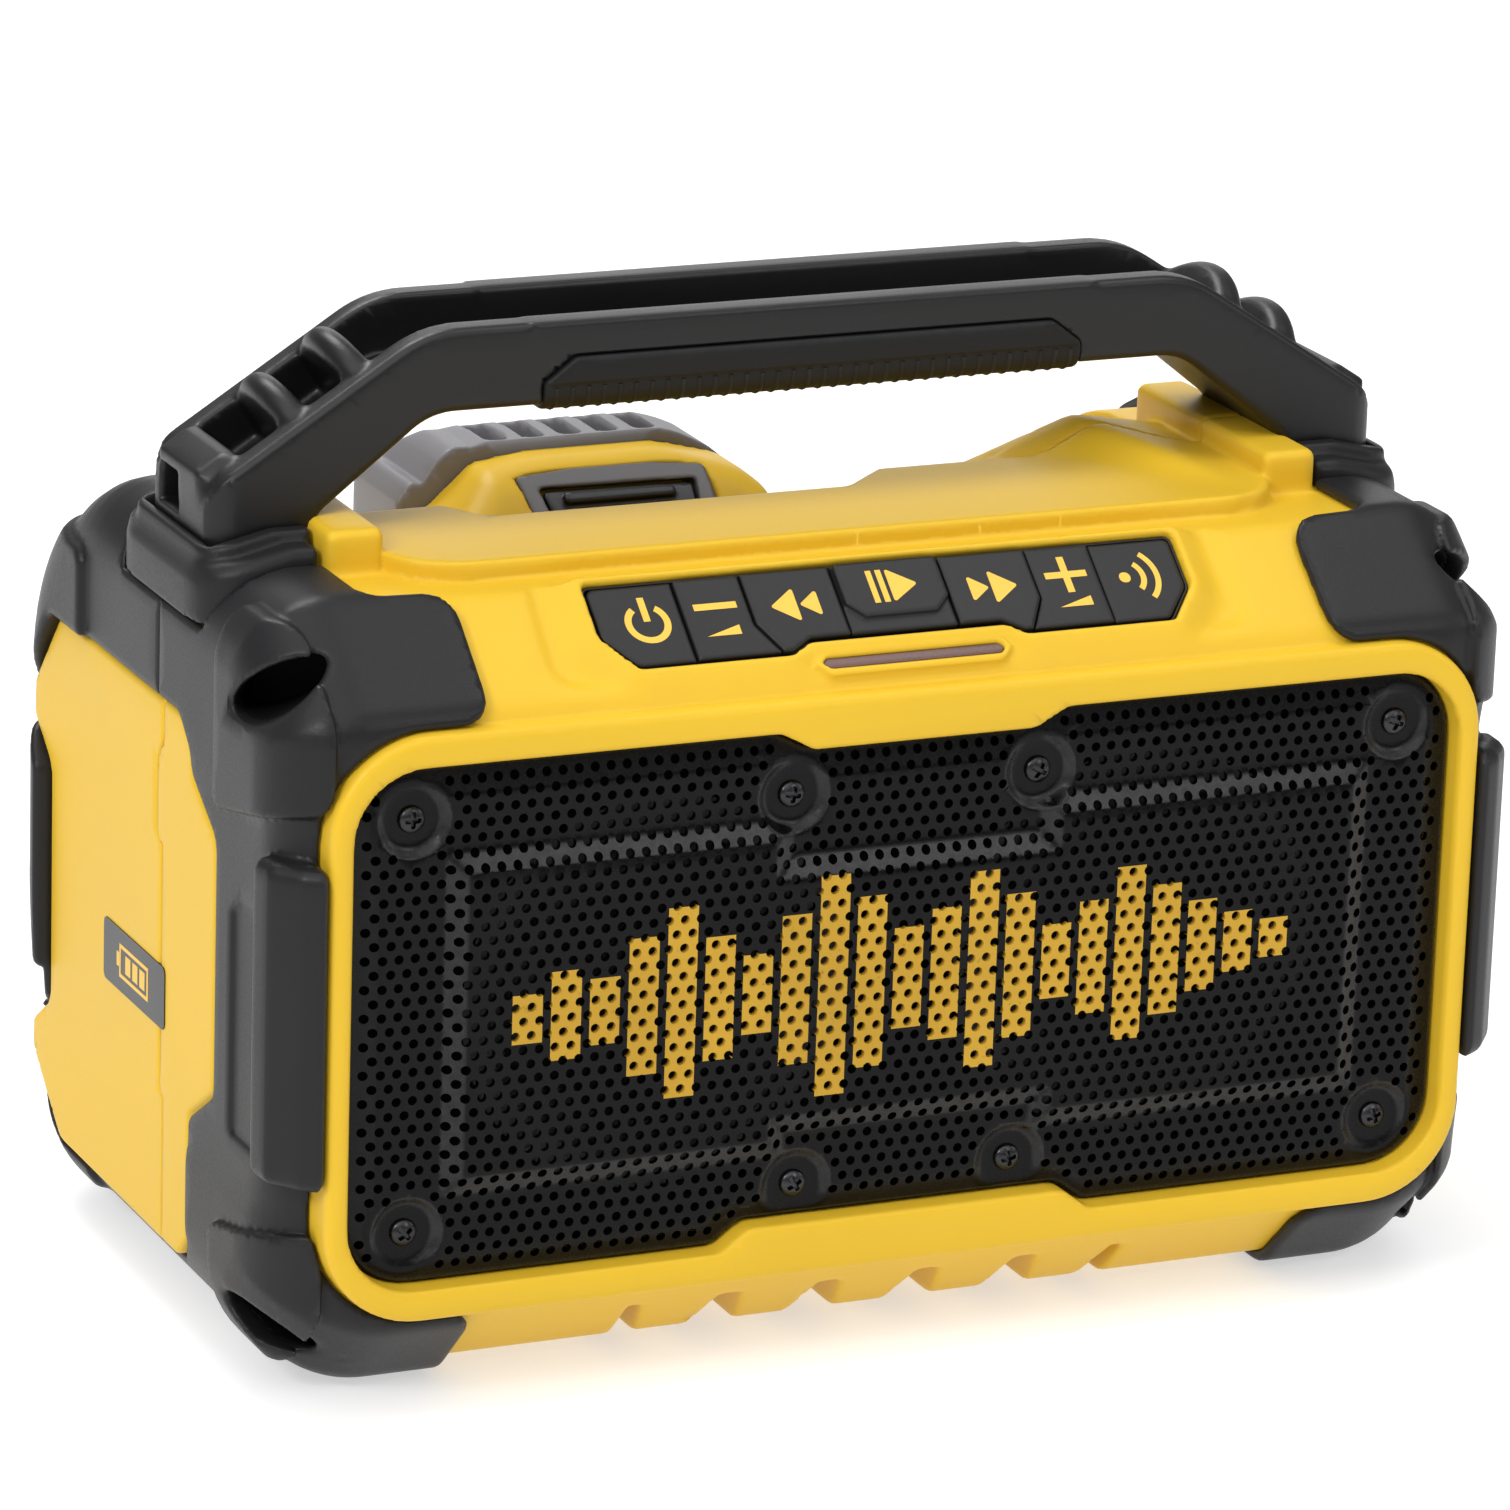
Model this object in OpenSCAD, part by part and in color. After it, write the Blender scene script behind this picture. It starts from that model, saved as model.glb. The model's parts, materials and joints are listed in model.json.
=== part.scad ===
// Jobsite speaker with a carry handle, a keypad on its front slope and a slide-in battery pack.
// Millimetres. X runs to the right, the grille faces -Y, Z is up and the feet stand on Z = 0.

/* [Body] */
// Width over the corner bars
speaker_w = 265; // [250:1:290]
// Depth over the corner bars
speaker_d = 162; // [156:1:176]
// Height of the top deck
deck_z = 157.5; // [150:0.5:168]
// Gap between the housing and the ground
floor_gap = 3.5; // [2.5:0.5:5]
// Wall of the housing shells
wall = 3; // [2.4:0.2:4]
// Depth of the front slope, measured back from the front
slope_run = 21.8; // [20:0.2:24]
// Height of the front slope
slope_rise = 17.5; // [16:0.5:20]
// Depth of the lower front skirt
skirt_run = 18; // [14:0.5:22]
// Height of the lower front skirt
skirt_rise = 17; // [14:0.5:20]
// Radius of the upper rear edge
rear_top_r = 46; // [36:1:50]
// Radius of the lower rear edge
rear_low_r = 26; // [18:1:32]
// Radius of the upper corners, seen from the front
top_corner_r = 14; // [10:1:18]
// Radius of the lower corners, seen from the front
low_corner_r = 22; // [16:1:26]
// Radius of the four upright corners, seen from above
plan_corner_r = 14; // [10:1:18]
// Place of the seam between the front and rear shells
seam_y = -5; // [-8:0.5:-2]

/* [Bezel and grille] */
// Distance from the housing's side to the bezel
bezel_side = 5.5; // [4:0.5:8]
// Corner radius of the bezel
bezel_r = 20; // [16:1:24]
// How far the bezel stands in front of the housing
bezel_h = 4.5; // [4.5:0.1:5.5]
// Width of the bezel at the sides
bezel_w = 4.5; // [4:0.5:6]
// Width of the bezel above and below the grille
bezel_band = 6.4; // [5:0.2:8]
// Depth of the grille rim behind the bezel
grille_inset = 3; // [2.6:0.2:4]
// Sheet thickness of the grille
grille_t = 1.2; // [0.8:0.1:1.6]
// Height of the raised grille field
grille_boss = 2.6; // [1.5:0.1:3]
// Width of the sloped border of the raised field
grille_border = 5; // [4:0.5:7]
// Distance from the grille's side edge to the raised field
field_side = 19; // [16:1:22]
// Distance from the grille's upper and lower edges to the raised field
field_band = 17.5; // [16:0.5:20]
// Diameter of the screw dimples
dimple_d = 14; // [12:0.5:16]
// Depth of the screw dimples
dimple_h = 1.8; // [1:0.1:2.4]
// Pitch of the perforations
hole_pitch = 9.9; // [8:0.1:14]
// Diameter of the perforations
hole_d = 5.7; // [3:0.1:6.5]

/* [Bumpers] */
// Thickness of the rubber bumpers
bumper_t = 3.5; // [3:0.1:4.5]
// Height of the raised bars on the corners
bar_h = 1; // [0.5:0.1:1.5]
// Reach of a bumper along the front from the housing's side
bumper_reach = 37; // [30:1:42]
// Lower end of the corner bars
bar_z0 = 49; // [44:1:56]
// Upper end of the corner bars
bar_z1 = 114; // [104:1:118]
// Height of the raised lash pads
pad_h = 0.7; // [0.4:0.1:0.8]
// Length of a lash slot
lash_l = 26; // [20:1:28]
// Width of a lash slot
lash_w = 9.5; // [7:0.5:11]
// Depth of a lash slot
lash_depth = 8; // [5:0.5:9]

/* [Handle] */
// Height of the handle above the deck
handle_rise = 44; // [40:1:50]
// Height of the straight part of the handle
rail_h = 16.7; // [15:0.1:20]
// Half length of the straight part of the handle
handle_flat = 76; // [70:1:80]
// Width of the handle, front to back
handle_w = 36.5; // [34:0.5:40]
// Thickness of the two handle rails
rail_t = 6.5; // [5:0.5:8]
// Thickness of the web between the rails
rail_web = 5; // [4:0.5:7]
// Half length of the soft grip
grip_half = 57; // [45:1:60]
// Thickness of the soft grip
grip_t = 2.4; // [2:0.1:3]
// Height of the grip on the rails
grip_side_h = 12; // [8:0.5:13]
// Outer width of a handle socket along X
socket_w = 24.5; // [22:0.5:28]
// Depth of a handle socket along Y
socket_d = 56; // [50:1:60]
// Height of a handle socket above the deck
socket_h = 7.5; // [5:0.5:10]

/* [Keypad] */
// Width of the keypad along its upper edge
keypad_top_w = 125; // [116:1:132]
// Width of the keypad along its lower edge
keypad_low_w = 105; // [98:1:108]
// Lower edge of the keypad, up the slope
keypad_v0 = 8; // [7.5:0.25:9]
// Upper edge of the keypad, up the slope
keypad_v1 = 26; // [25:0.25:27]
// Half width of the play key
play_half = 11.5; // [10:0.5:13]
// Width of the skip keys
skip_w = 19; // [16:0.5:20]
// Width of the volume keys
volume_w = 14; // [12:0.5:15]
// Key travel
key_travel = 0.8; // [0.5:0.1:1.2]
// Clearance around a key
key_gap = 0.4; // [0.3:0.05:0.5]
// Half length of the status lens
lens_half = 19; // [15:0.5:22]
// Height of the status lens
lens_h = 2.4; // [2:0.1:2.8]

/* [Drivers] */
// Distance of a driver from the middle
driver_x = 52; // [46:1:56]
// Radius of a driver's mounting flange
flange_r = 40; // [38:0.5:42]
// Radius of the baffle cut-out behind a driver
cutout_r = 33.5; // [32:0.5:34]
// Radius of the voice coil former
coil_r = 11; // [9:0.5:13]
// Cone travel each way
cone_travel = 1.5; // [0.5:0.1:2]
// Radius of a driver magnet
magnet_r = 24; // [22:1:28]

/* [Battery] */
// Place of the battery pack's middle along X
pack_x = -22; // [-26:1:-16]
// Width of the battery pack
pack_w = 76; // [74:1:80]
// Length of the battery pack
pack_l = 116; // [110:1:120]
// Depth of the battery case behind its rails
pack_d = 50.5; // [46:0.5:52]
// Depth of the yellow half of the battery case
pack_split = 23.5; // [22:0.5:26]
// Wall of the battery case
pack_wall = 2.6; // [2:0.1:3]
// Width of the battery release key
latch_w = 28; // [24:1:32]
// Travel of the battery release key
latch_travel = 3; // [2:0.5:4]
// Sliding clearance of the battery pack
slide_gap = 0.5; // [0.4:0.1:0.8]

/* [Ports] */
// Middle of the port door along X
port_x = 60; // [54:1:66]
// Height of the port door's middle
port_z = 80; // [70:1:90]
// Width of the port door
port_w = 46; // [42:1:50]
// Height of the port door
port_h = 28; // [24:1:32]
// Thickness of the port door
door_t = 3; // [2.5:0.5:4]
// Radius of the port door's pin
door_pin_r = 0.8; // [0.6:0.05:0.9]

/* [Hidden] */
$fn = 64;
yellow = [0.96, 0.73, 0.12];
rubber = [0.24, 0.24, 0.25];
black = [0.08, 0.08, 0.09];
grey = [0.45, 0.45, 0.47];
steel = [0.72, 0.73, 0.75];
copper = [0.78, 0.5, 0.25];
green = [0.1, 0.4, 0.2];
// Clearance between pieces that are assembled and stay put
fit = 0.15;
// Running clearance of the door on its pin
run_fit = 0.05;
eps = 0.02;
far = 400;

hw = speaker_w/2 - bar_h - bumper_t;
hd = speaker_d/2 - bar_h - bumper_t;
slope_a = atan2(slope_rise, slope_run);
slope_l = norm([slope_run, slope_rise]);

bezel_x = hw - bezel_side;
bezel_z0 = floor_gap + skirt_rise;
bezel_z1 = deck_z - slope_rise - 1.5;
bezel_y = -hd - bezel_h;
opening_x = bezel_x - bezel_w;
opening_z0 = bezel_z0 + bezel_band;
opening_z1 = bezel_z1 - bezel_band;
opening_r = bezel_r - bezel_w - 1;
notch_top = [23.5, 30.5, 3.8];
notch_low = [34, 40, 4.5];
driver_z = (opening_z0 + opening_z1)/2;
rim_y = bezel_y + grille_inset;
baffle_y = rim_y + 8.5;
baffle_t = 3.5;
cavity_y = baffle_y + baffle_t;

// Screw places on the grille rim: four corners, then the pairs beside the notches
grille_screws_xz = [
    for (s = [-1, 1]) each [
        [s*(opening_x - 13), opening_z1 - 11],
        [s*(opening_x - 13), opening_z0 + 11],
        [s*26.3, opening_z1 - 13.5],
        [s*23.2, opening_z0 + 11.5],
    ],
];
grille_shank_r = 1.5;

handle_y = seam_y;
handle_z = deck_z + handle_rise;
rail_z = handle_z - rail_h;
leg_out = hw - 1.5;
leg_in = leg_out - 21;
socket_out = hw + bumper_t;
socket_in = socket_out - socket_w;
block_w = 12;
// Places of the ribs along a sloped leg, and their thickness
leg_ribs = [15.2, 30.5];
rib_t = 6.4;
pocket_h = 9.5;

// Key edges along X, from the middle outwards
key_edges = [play_half, play_half + skip_w, play_half + skip_w + volume_w, keypad_top_w/2];
key_web = 1.2;
key_margin = 1.4;
pad_top = 0.6;
flange_t = 1.2;
// Roof of the pocket behind the keypad, a little into the wall
pad_roof = -wall + 0.3;
pad_low = pad_roof - flange_t;
key_top = pad_top + 0.9;
key_flange_low = pad_low - 0.3 - flange_t;
plunger_l = 1.5;
switch_h = 1.6;
board_top = key_flange_low - plunger_l - key_travel - 0.3 - switch_h;
board_t = 1.6;
board_half = keypad_top_w/2 + 9;

driver_head_r = 2.3;
cone_edge_r = 27.3;
flange_h = 2.2;
basket_h = 24;
spider_h = -16;

// The bay starts far enough back for the pack and its hook to pass the handle
bay_y = handle_y + handle_w/2 - 0.3;
pack_y = bay_y + 12;
pack_z1 = deck_z - 0.5;
pack_z0 = pack_z1 - pack_l;
bay_x = pack_w/2 + 2*slide_gap;
bay_z = pack_z0 - 1;
dock_t = 3;
rail_flange = [28, 4];
rail_stem = [23, 4.4];
rail_y = pack_y - rail_flange.y - rail_stem.y;
latch_run = 14;
latch_rise = 13;
latch_a = atan2(latch_rise, latch_run);
latch_v = [4.5, 11.5];
latch_y0 = pack_y + 4.2;
latch_y1 = latch_y0 + 10;
latch_back = latch_y1 + 6;

port_y = hd;
port_depth = 15;
door_y = port_y - door_t;
hinge_z = port_z - port_h/2 + 2.6;
hinge_y = door_y + door_t/2;

case_screws_xz = [
    for (s = [-1, 1]) each [[s*(hw - 30), floor_gap + 22.5], [s*(hw - 30), deck_z - 33.5]],
];
case_screw_r = 2;

// Outline helpers

// Points of a closed outline whose corners [x, y, r] are rounded with arcs
function rounded(corners, step = 15) = let (n = len(corners)) [
    for (i = [0 : n - 1]) each corner_arc(
        corners[(i + n - 1) % n], corners[i], corners[(i + 1) % n], step),
];
function unit(v) = v/norm(v);
function flat(p) = [p.x, p.y];
function corner_arc(before, at, after, step) = at.z == 0 ? [flat(at)] : let (
    a = unit(flat(before) - flat(at)),
    b = unit(flat(after) - flat(at)),
    half = acos(a*b)/2,
    centre = flat(at) + unit(a + b)*at.z/sin(half),
    first = flat(at) + a*at.z/tan(half) - centre,
    last = flat(at) + b*at.z/tan(half) - centre,
    a0 = atan2(first.y, first.x),
    turn = (atan2(last.y, last.x) - a0 + 540) % 360 - 180,
    n = max(2, ceil(abs(turn)/step)))
    [for (k = [0 : n]) centre + at.z*[cos(a0 + turn*k/n), sin(a0 + turn*k/n)]];

module box(low, high) {
    translate(low) cube(high - low);
}

module round_rect(x, z0, z1, r) {
    for (s = [-1, 1]) {
        for (z = [z0 + r, z1 - r]) {
            translate([s*(x - r), z]) circle(r);
        }
    }
    translate([-x, z0 + r]) square([2*x, z1 - z0 - 2*r]);
    translate([-x + r, z0]) square([2*x - 2*r, z1 - z0]);
}

// Outlines in YZ, XZ and XY pushed through the object
module along_x(x0, x1) {
    translate([x0, 0, 0]) rotate([90, 0, 90]) linear_extrude(x1 - x0) children();
}
module along_y(y0, y1) {
    translate([0, y1, 0]) rotate([90, 0, 0]) linear_extrude(y1 - y0) children();
}
module along_z(z0, z1) {
    translate([0, 0, z0]) linear_extrude(z1 - z0) children();
}
module both_sides() {
    children();
    mirror([1, 0, 0]) children();
}
// Frame of the front slope: x across, y up the slope, z out of it
module on_slope() {
    translate([0, -hd, deck_z - slope_rise]) rotate([slope_a, 0, 0]) children();
}
// Frame of a driver: z forward out of the baffle
module at_driver(side) {
    translate([side*driver_x, baffle_y, driver_z]) rotate([90, 0, 0]) children();
}

// Body form

module chamfer_cut(middle, normal, grow) {
    translate(middle) rotate(atan2(normal.y, normal.x)) translate([grow, -100]) square([100, 200]);
}
module round_cut(corner, r, out) {
    centre = corner - r*out;
    difference() {
        translate(centre + [out.x > 0 ? 0 : -r - 1, out.y > 0 ? 0 : -r - 1]) square(r + 1);
        translate(centre) circle(r);
    }
}
module side_outline(grow) {
    difference() {
        translate([-hd - grow, floor_gap - grow]) square([2*(hd + grow), deck_z - floor_gap + 2*grow]);
        chamfer_cut([-hd + slope_run/2, deck_z - slope_rise/2], [-slope_rise, slope_run], grow);
        chamfer_cut([-hd + skirt_run/2, floor_gap + skirt_rise/2], [-skirt_rise, -skirt_run], grow);
        round_cut([hd + grow, deck_z + grow], rear_top_r + grow, [1, 1]);
        round_cut([hd + grow, floor_gap - grow], rear_low_r + grow, [1, -1]);
    }
}
module front_outline(grow) {
    difference() {
        translate([-hw - grow, floor_gap - grow]) square([2*(hw + grow), deck_z - floor_gap + 2*grow]);
        for (s = [-1, 1]) {
            round_cut([s*(hw + grow), deck_z + grow], top_corner_r + grow, [s, 1]);
            round_cut([s*(hw + grow), floor_gap - grow], low_corner_r + grow, [s, -1]);
        }
    }
}
module plan_outline(grow) {
    difference() {
        translate([-hw - grow, -hd - grow]) square(2*[hw + grow, hd + grow]);
        for (s = [-1, 1]) {
            for (t = [-1, 1]) {
                round_cut([s*(hw + grow), t*(hd + grow)], plan_corner_r + grow, [s, t]);
            }
        }
    }
}
// The moulded body, grown outwards or shrunk inwards by one even distance
module body(grow) {
    intersection() {
        along_x(-far, far) side_outline(grow);
        along_y(-far, far) front_outline(grow);
        along_z(-far, far) plan_outline(grow);
    }
}
module front_half() {
    box([-far, -far, -far], [far, seam_y, far]);
}
module rear_half() {
    box([-far, seam_y, -far], [far, far, far]);
}

// Outline of the yellow side panel, in YZ
module panel_outline(grow) {
    polygon(rounded([
        [-16, 127 + grow, 4],
        [-22.5 - grow, 121, 4],
        [-22.5 - grow, 116, 3],
        [-36.5 - grow, 107 + grow, 4],
        [-36.5 - grow, 55 - grow, 4],
        [-22.5 - grow, 46, 3],
        [-22.5 - grow, 20, 4],
        [-16, 14 - grow, 4],
        [55, 14 - grow, 6],
        [73 + grow, 29, 5],
        [73 + grow, 36, 3],
        [62.5 + grow, 43 - grow, 4],
        [62.5 + grow, 93 + grow, 4],
        [73 + grow, 101, 3],
        [73 + grow, 109, 5],
        [57, 127 + grow, 6],
    ]));
}

// Grille opening with its two centre notches, shrunk by inset
module grille_outline(inset) {
    difference() {
        round_rect(opening_x - inset, opening_z0 + inset, opening_z1 - inset, opening_r - inset);
        polygon([
            [-notch_top[1] - inset, opening_z1 + 1], [-notch_top[1] - inset, opening_z1 - inset],
            [-notch_top[0] - inset, opening_z1 - notch_top[2] - inset],
            [notch_top[0] + inset, opening_z1 - notch_top[2] - inset],
            [notch_top[1] + inset, opening_z1 - inset], [notch_top[1] + inset, opening_z1 + 1],
        ]);
        polygon([
            [-notch_low[1] - inset, opening_z0 - 1], [-notch_low[1] - inset, opening_z0 + inset],
            [-notch_low[0] - inset, opening_z0 + notch_low[2] + inset],
            [notch_low[0] + inset, opening_z0 + notch_low[2] + inset],
            [notch_low[1] + inset, opening_z0 + inset], [notch_low[1] + inset, opening_z0 - 1],
        ]);
    }
}

// Keypad outline on the slope, grown by grow
module keypad_outline(grow) {
    top = keypad_top_w/2 + grow;
    low = keypad_low_w/2 + grow;
    v0 = keypad_v0 - grow;
    notch = 20 - 0.3*grow;
    polygon(rounded([
        [-top, keypad_v1 + grow, 2],
        [-top + 3.2, keypad_v0 + 7, 3],
        [-low, v0, 2],
        [-notch - 1.6, v0, 0],
        [-notch, v0 + 1.1, 0],
        [notch, v0 + 1.1, 0],
        [notch + 1.6, v0, 0],
        [low, v0, 2],
        [top - 3.2, keypad_v0 + 7, 3],
        [top, keypad_v1 + grow, 2],
    ], 30));
}
// Part of the keypad between two edges; clear shrinks it on all sides
module key_outline(x0, x1, clear) {
    intersection() {
        keypad_outline(-key_margin - clear);
        translate([x0 + key_web/2 + clear, 0]) square([x1 - x0 - key_web - 2*clear, slope_l]);
    }
}
module lens_outline(grow) {
    polygon([
        [-lens_half - grow, 0], [-lens_half + lens_h/2, lens_h/2 + grow],
        [lens_half - lens_h/2, lens_h/2 + grow], [lens_half + grow, 0],
        [lens_half - lens_h/2, -lens_h/2 - grow], [-lens_half + lens_h/2, -lens_h/2 - grow],
    ]);
}
lens_v = keypad_v0 - 3.1;

// Screws

// Cross-head screw along -z with its head's underside at z = 0
module screw(head_r, head_h, shank_r, shank_l) {
    difference() {
        cylinder(r = head_r, h = head_h);
        for (a = [0, 90]) {
            rotate(a) translate([-head_r*0.6, -head_r*0.14, head_h/2])
                cube([head_r*1.2, head_r*0.28, head_h]);
        }
    }
    translate([0, 0, -shank_l]) cylinder(r = shank_r, h = shank_l + eps);
}
module at_grille_screws() {
    for (p = grille_screws_xz) {
        translate([p.x, rim_y + dimple_h, p.y]) rotate([90, 0, 0]) children();
    }
}
module at_case_screws() {
    for (p = case_screws_xz) {
        translate([p.x, hd - 10, p.y]) rotate([-90, 0, 0]) children();
    }
}
module at_driver_screws(side) {
    for (a = [45 : 90 : 315]) {
        at_driver(side) rotate(a) translate([flange_r - 2.8, 0, flange_h]) children();
    }
}
keypad_posts = [for (s = [-1, 1]) each [[s*(board_half - 3.5), 11], [s*(board_half - 3.5), 22]]];
module at_keypad_posts(w) {
    for (p = keypad_posts) {
        on_slope() translate([p.x, p.y, w]) children();
    }
}
main_board_half = [58, 20];
main_board_y = (cavity_y + seam_y)/2 + 2;
main_board_z = floor_gap + wall + 6;
module at_main_posts(z) {
    for (s = [-1, 1]) {
        for (t = [-1, 1]) {
            translate([s*(main_board_half.x - 4), main_board_y + t*(main_board_half.y - 4), z]) children();
        }
    }
}

// Housings

// One corner pocket for a strap hook; the left front upper one is mirrored to the rest
module lash_slot(depth, clear, upper) {
    at = upper ? [-hw + 2, -hd + 18, deck_z - 17] : [-hw + 6, -hd + 17, floor_gap + 12];
    translate(at) rotate([0, 0, -60]) rotate([0, upper ? -13 : 12, 0])
        translate([0, depth, 0]) rotate([90, 0, 0])
            linear_extrude(far/8) {
                for (s = [-1, 1]) {
                    translate([s*(lash_l - lash_w)/2, 0]) circle(lash_w/2 + clear);
                }
                square([lash_l - lash_w, lash_w + 2*clear], center = true);
            }
}
module lash_slots(depth, clear) {
    both_sides() {
        lash_slot(depth, clear, true);
        lash_slot(depth, clear, false);
    }
}

// Yellow blocks beside the handle sockets
module socket_blocks() {
    both_sides() difference() {
        along_y(handle_y - socket_d/2 - 2, handle_y + socket_d/2 + 2)
            polygon([
                [socket_in - block_w, deck_z - wall], [socket_in - block_w, deck_z + 6.5],
                [socket_in - block_w + 1.5, deck_z + 8], [socket_in - 0.3, deck_z + 8],
                [socket_in - 0.3, deck_z - wall],
            ]);
        along_y(handle_y - handle_w/2 - fit, handle_y + handle_w/2 + fit)
            translate([-fit, 0]) handle_outline();
    }
}
// Raised tray in front of the handle, notched for the battery
module tray() {
    tray_x = socket_in - block_w;
    tray_y = -hd + slope_run + 8;
    along_z(deck_z - wall, deck_z + 4) polygon(rounded([
        [-tray_x, seam_y, 0],
        [-tray_x, tray_y, 16],
        [tray_x, tray_y, 16],
        [tray_x, seam_y, 0],
        [pack_x + 44, seam_y, 0],
        [pack_x + 32, seam_y - 11, 6],
        [pack_x - 46, seam_y - 11, 6],
        [pack_x - 52, seam_y, 0],
    ], 10));
}
// Wing at the right that climbs from the tray to the block, and falls away behind
module wing() {
    x1 = socket_in - block_w;
    intersection() {
        along_y(-hd, hd) polygon([
            [x1 - 54, deck_z - wall], [x1 - 48, deck_z + 4], [x1 - 27, deck_z + 11.5],
            [x1 + 1, deck_z + 11.5], [x1 + 1, deck_z - wall],
        ]);
        along_x(0, x1 + 1) polygon([
            [seam_y - 32, deck_z - wall], [seam_y - 32, deck_z + 3], [seam_y - 3, deck_z + 11.5],
            [seam_y + 6, deck_z + 11.5], [seam_y + 27, deck_z + 1], [seam_y + 27, deck_z - wall],
        ]);
    }
}
module side_panels() {
    both_sides() along_x(hw - 1, hw + 1.4) intersection() {
        panel_outline(-0.4);
        translate([-60, floor_gap + low_corner_r + 1]) square([62 + hd - plan_corner_r - 2, far]);
    }
}
module skirt_recess() {
    difference() {
        box([-62, -hd - 5, floor_gap - 1], [62, -hd + 42, floor_gap + 11]);
        body(-2.2);
        for (i = [-2 : 2]) {
            translate([i*21.5 - 7.5, -far/2, 0]) cube([15, far, 40]);
        }
    }
}

module front_housing() {
    color(yellow) difference() {
        union() {
            intersection() {
                union() {
                    body(0);
                    side_panels();
                    socket_blocks();
                }
                front_half();
            }
            along_y(bezel_y, -hd + 6) round_rect(bezel_x, bezel_z0, bezel_z1, bezel_r);
            tray();
            intersection() {
                wing();
                front_half();
            }
            on_slope() translate([0, 0, -1]) linear_extrude(2.6) intersection() {
                keypad_outline(3);
                translate([-far/2, 0]) square([far, slope_l - 0.4]);
            }
            on_slope() translate([0, lens_v, -1]) linear_extrude(2.4) lens_outline(1.6);
        }
        // Room inside, kept solid round the strap pockets
        difference() {
            intersection() {
                body(-wall);
                box([-far, cavity_y, -far], [far, seam_y + 1, far]);
            }
            lash_slots(lash_depth + wall, wall);
            for (p = case_screws_xz) {
                translate([p.x, 0, p.y]) rotate([90, 0, 0]) cylinder(r = 5, h = far);
            }
            at_main_posts(0) cylinder(r = 3.4, h = main_board_z);
            at_keypad_posts(board_top) cylinder(r = 3, h = far/8);
        }
        // Grille recess with screw posts, and the driver cut-outs
        difference() {
            along_y(bezel_y - 1, baffle_y) grille_outline(0);
            for (p = grille_screws_xz) {
                translate([p.x, baffle_y + 1, p.y]) rotate([90, 0, 0])
                    cylinder(r = 5, h = baffle_y + 1 - rim_y - dimple_h - grille_t);
            }
        }
        for (s = [-1, 1]) {
            at_driver(s) cylinder(r = cutout_r, h = 30, center = true);
            at_driver_screws(s) {
                cylinder(r = 1.3 + fit, h = 30, center = true);
                cylinder(r = driver_head_r + fit, h = baffle_y - rim_y - flange_h);
            }
        }
        at_grille_screws() cylinder(r = grille_shank_r + fit, h = 32, center = true);
        at_case_screws() cylinder(r = case_screw_r + fit, h = 230, center = true);
        at_handle_screws() cylinder(r = 2 + fit, h = 24, center = true);
        at_main_posts(main_board_z - 5) cylinder(r = 1.3 + fit, h = 12);
        // Keypad and lens openings, and the pocket for the board behind them
        on_slope() linear_extrude(20, center = true) keypad_outline(fit);
        on_slope() translate([0, lens_v, 0]) linear_extrude(20, center = true) lens_outline(fit);
        difference() {
            on_slope() translate([-board_half - 2, 2.2, board_top - board_t - 2])
                cube([2*board_half + 4, slope_l - 4.4, pad_roof - board_top + board_t + 2]);
            at_keypad_posts(board_top) cylinder(r = 3, h = far/8);
        }
        at_keypad_posts(board_top - 1) cylinder(r = 1.3 + fit, h = 6);
        // Groove for the seam gasket
        gasket_ring();
        lash_slots(lash_depth, 0);
        skirt_recess();
    }
}

module gasket_ring() {
    difference() {
        intersection() {
            body(-wall*0.3);
            box([-far, seam_y - 1.6, -far], [far, seam_y, far]);
        }
        body(-wall*0.7);
    }
}
module seam_gasket() {
    color(rubber) gasket_ring();
}

module rear_housing() {
    bay_low = [pack_x - bay_x, bay_y, bay_z];
    bay_high = [pack_x + bay_x, far, far];
    port_low = [port_x - port_w/2, door_y - port_depth, port_z - port_h/2];
    port_high = [port_x + port_w/2, far, port_z + port_h/2];
    color(yellow) difference() {
        union() {
            intersection() {
                union() {
                    body(0);
                    side_panels();
                    socket_blocks();
                }
                rear_half();
            }
            intersection() {
                wing();
                rear_half();
            }
        }
        // Room inside, leaving the walls of the battery bay and of the port recess
        difference() {
            intersection() {
                body(-wall);
                box([-far, seam_y - 1, -far], [far, far, far]);
            }
            box(bay_low - wall*[1, 1, 1], bay_high + wall*[1, 0, 0]);
            box(port_low - wall*[1, 1, 1], port_high + wall*[1, 0, 1]);
            at_port_posts() cylinder(r = 2.4, h = port_post_l + 1);
            for (p = case_screws_xz) {
                translate([p.x, far, p.y]) rotate([90, 0, 0]) cylinder(r = 7, h = far - seam_y);
            }
        }
        box(bay_low, bay_high);
        // Port recess with a stepped mouth for the door
        box(port_low + [3, 0, 3], port_high - [3, 0, 3]);
        box([port_low.x, door_y - 0.6, port_low.z], port_high);
        at_case_screws() {
            cylinder(r = case_screw_r + fit, h = 400, center = true);
            cylinder(r = 4.6, h = 60);
        }
        along_x(port_x - port_w/2 - 4, port_x + port_w/2 + 4)
            translate([hinge_y, hinge_z]) circle(door_pin_r);
        at_handle_screws() cylinder(r = 2 + fit, h = 24, center = true);
        // Four holes for the screws of the battery dock
        at_dock_screws() cylinder(r = 1.5 + fit, h = 30, center = true);
        // Slots for the sockets on the port board
        translate([port_x - 9, door_y - port_depth, port_z]) cube([14.6, 2*wall + 2, 7.2], center = true);
        translate([port_x + 11, door_y - port_depth, port_z]) rotate([90, 0, 0])
            cylinder(r = 4 + fit, h = 2*wall + 2, center = true);
    }
}

// Bumpers

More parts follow.
